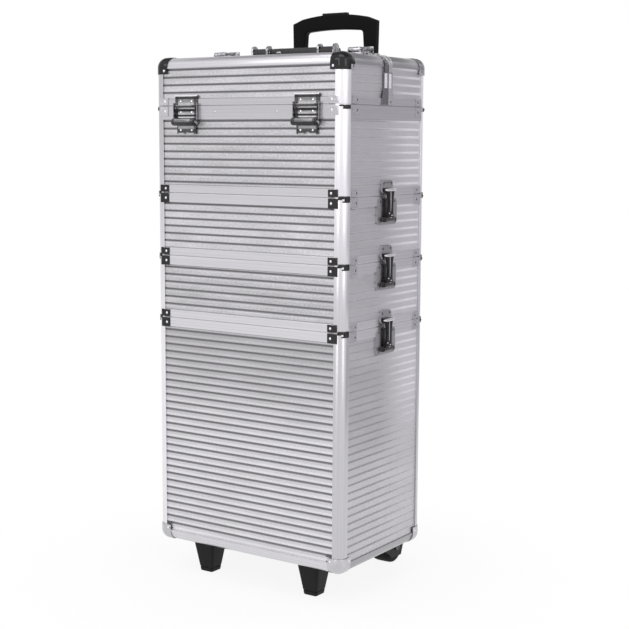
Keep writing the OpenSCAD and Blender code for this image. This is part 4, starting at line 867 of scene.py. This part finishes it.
# corner slots: two short dark bars beside each bottom cap, on the front and on the rear
slotSet = {"x": 0.1572, "in": 0.0004, "rises": (0.0200, 0.0280), "half": (0.0052, 0.0017, 0.0009)}
slotBars = []
for kx in (-1, 1):
    for ky in (-1, 1):
        for rise in slotSet["rises"]:
            place = (kx * slotSet["x"], caseMidY + ky * (halfD - slotSet["in"]), caseLow.z + rise)
            slotBars.append(pebble(place, slotSet["half"], 4.0))
addPiece("cornerSlots", slotBars, moulded("slotDark", 0.09, 0.5), "base")
print("linings and trays made")


# floor, world, cards and lamps
def makeFloor():
    r = 30.0
    mesh = bpy.data.meshes.new("floor")
    mesh.from_pydata([(-r, -r, 0), (r, -r, 0), (r, r, 0), (-r, r, 0)], [], [(0, 1, 2, 3)])
    floor = bpy.data.objects.new("floor", mesh)
    scene.collection.objects.link(floor)
    sh = Paint("floorPaint", Roughness=0.9)
    where = sh.place()
    sh.put("Base Color", sh.mix(sh.noise(where, 3.0, 2.0), (0.90, 0.90, 0.90, 1), (0.94, 0.94, 0.94, 1)))
    seen = sh.seen()
    glow = sh.node("ShaderNodeEmission", {}, {"Color": (1, 1, 1, 1), "Strength": 1.0})
    x, y, z = sh.split(where)
    far = (x * x + y * y).math("SQRT").ramp(0.15, 0.55)  # plain white beyond the contact shadows
    both = sh.node("ShaderNodeMixShader", {}, {0: seen * (0.90 + far * 0.10), 1: Val(sh, sh.bsdf.outputs[0]),
                                               2: glow})
    sh.feed(sh.tree.nodes["Material Output"].inputs["Surface"], both)
    mesh.materials.append(sh.mat)


def makeWorld(level):
    world = bpy.data.worlds.new("studio")
    scene.world = world
    world.use_nodes = True
    sh = Shade(world.node_tree)
    back = world.node_tree.nodes["Background"]
    back.inputs["Color"].default_value = (1, 1, 1, 1)
    sh.feed(back.inputs["Strength"], level + sh.seen() * (1 - level))


# grey card that only mirrors see, as a studio flag
def makeCard(name, points, level):
    mesh = bpy.data.meshes.new(name)
    mesh.from_pydata(points, [], [(0, 1, 2, 3)])
    card = bpy.data.objects.new(name, mesh)
    scene.collection.objects.link(card)
    mat = bpy.data.materials.new(name + "Grey")
    mat.use_nodes = True
    sh = Shade(mat.node_tree)
    glow = sh.node("ShaderNodeEmission", {}, {"Color": (1, 0.985, 1.03, 1), "Strength": level})
    sh.feed(sh.tree.nodes["Material Output"].inputs["Surface"], glow)
    mesh.materials.append(mat)
    card.visible_camera = card.visible_diffuse = card.visible_shadow = card.visible_transmission = False


def softbox(name, place, aim, size, power):
    data = bpy.data.lights.new(name, "AREA")
    data.shape = "RECTANGLE"
    data.size, data.size_y = size
    data.energy = power
    lamp = bpy.data.objects.new(name, data)
    lamp.location = place
    lamp.rotation_mode = "QUATERNION"
    lamp.rotation_quaternion = (Vector(aim) - Vector(place)).to_track_quat("-Z", "Y")
    scene.collection.objects.link(lamp)


makeFloor()
makeWorld(0.62)
makeCard("sideCard", [(2.6, 0.3, 0.02), (0.4, 1.6, 0.02), (1.6, 4.6, 2.6), (4.6, 2.4, 2.6)], 0.58)
makeCard("overCard", [(-2.2, -0.3, 2.4), (1.6, -0.3, 2.4), (1.6, 3.4, 2.4), (-2.2, 3.4, 2.4)], 0.42)
softbox("keyFront", (-0.9, -2.6, 2.3), (0, 0, 0.6), (1.6, 1.0), 9)
softbox("overhead", (0.3, -0.6, 3.2), (0, 0, 0.4), (2.0, 2.0), 18)
softbox("stripRight", (2.35, -0.85, 1.3), (0.1, -0.1, 0.7), (0.7, 1.7), 6)
softbox("stripFront", (0.2, -2.5, 1.3), (0.1, -0.1, 0.7), (0.5, 1.7), 5)
scene.view_settings.view_transform = "Standard"
print("studio ready")
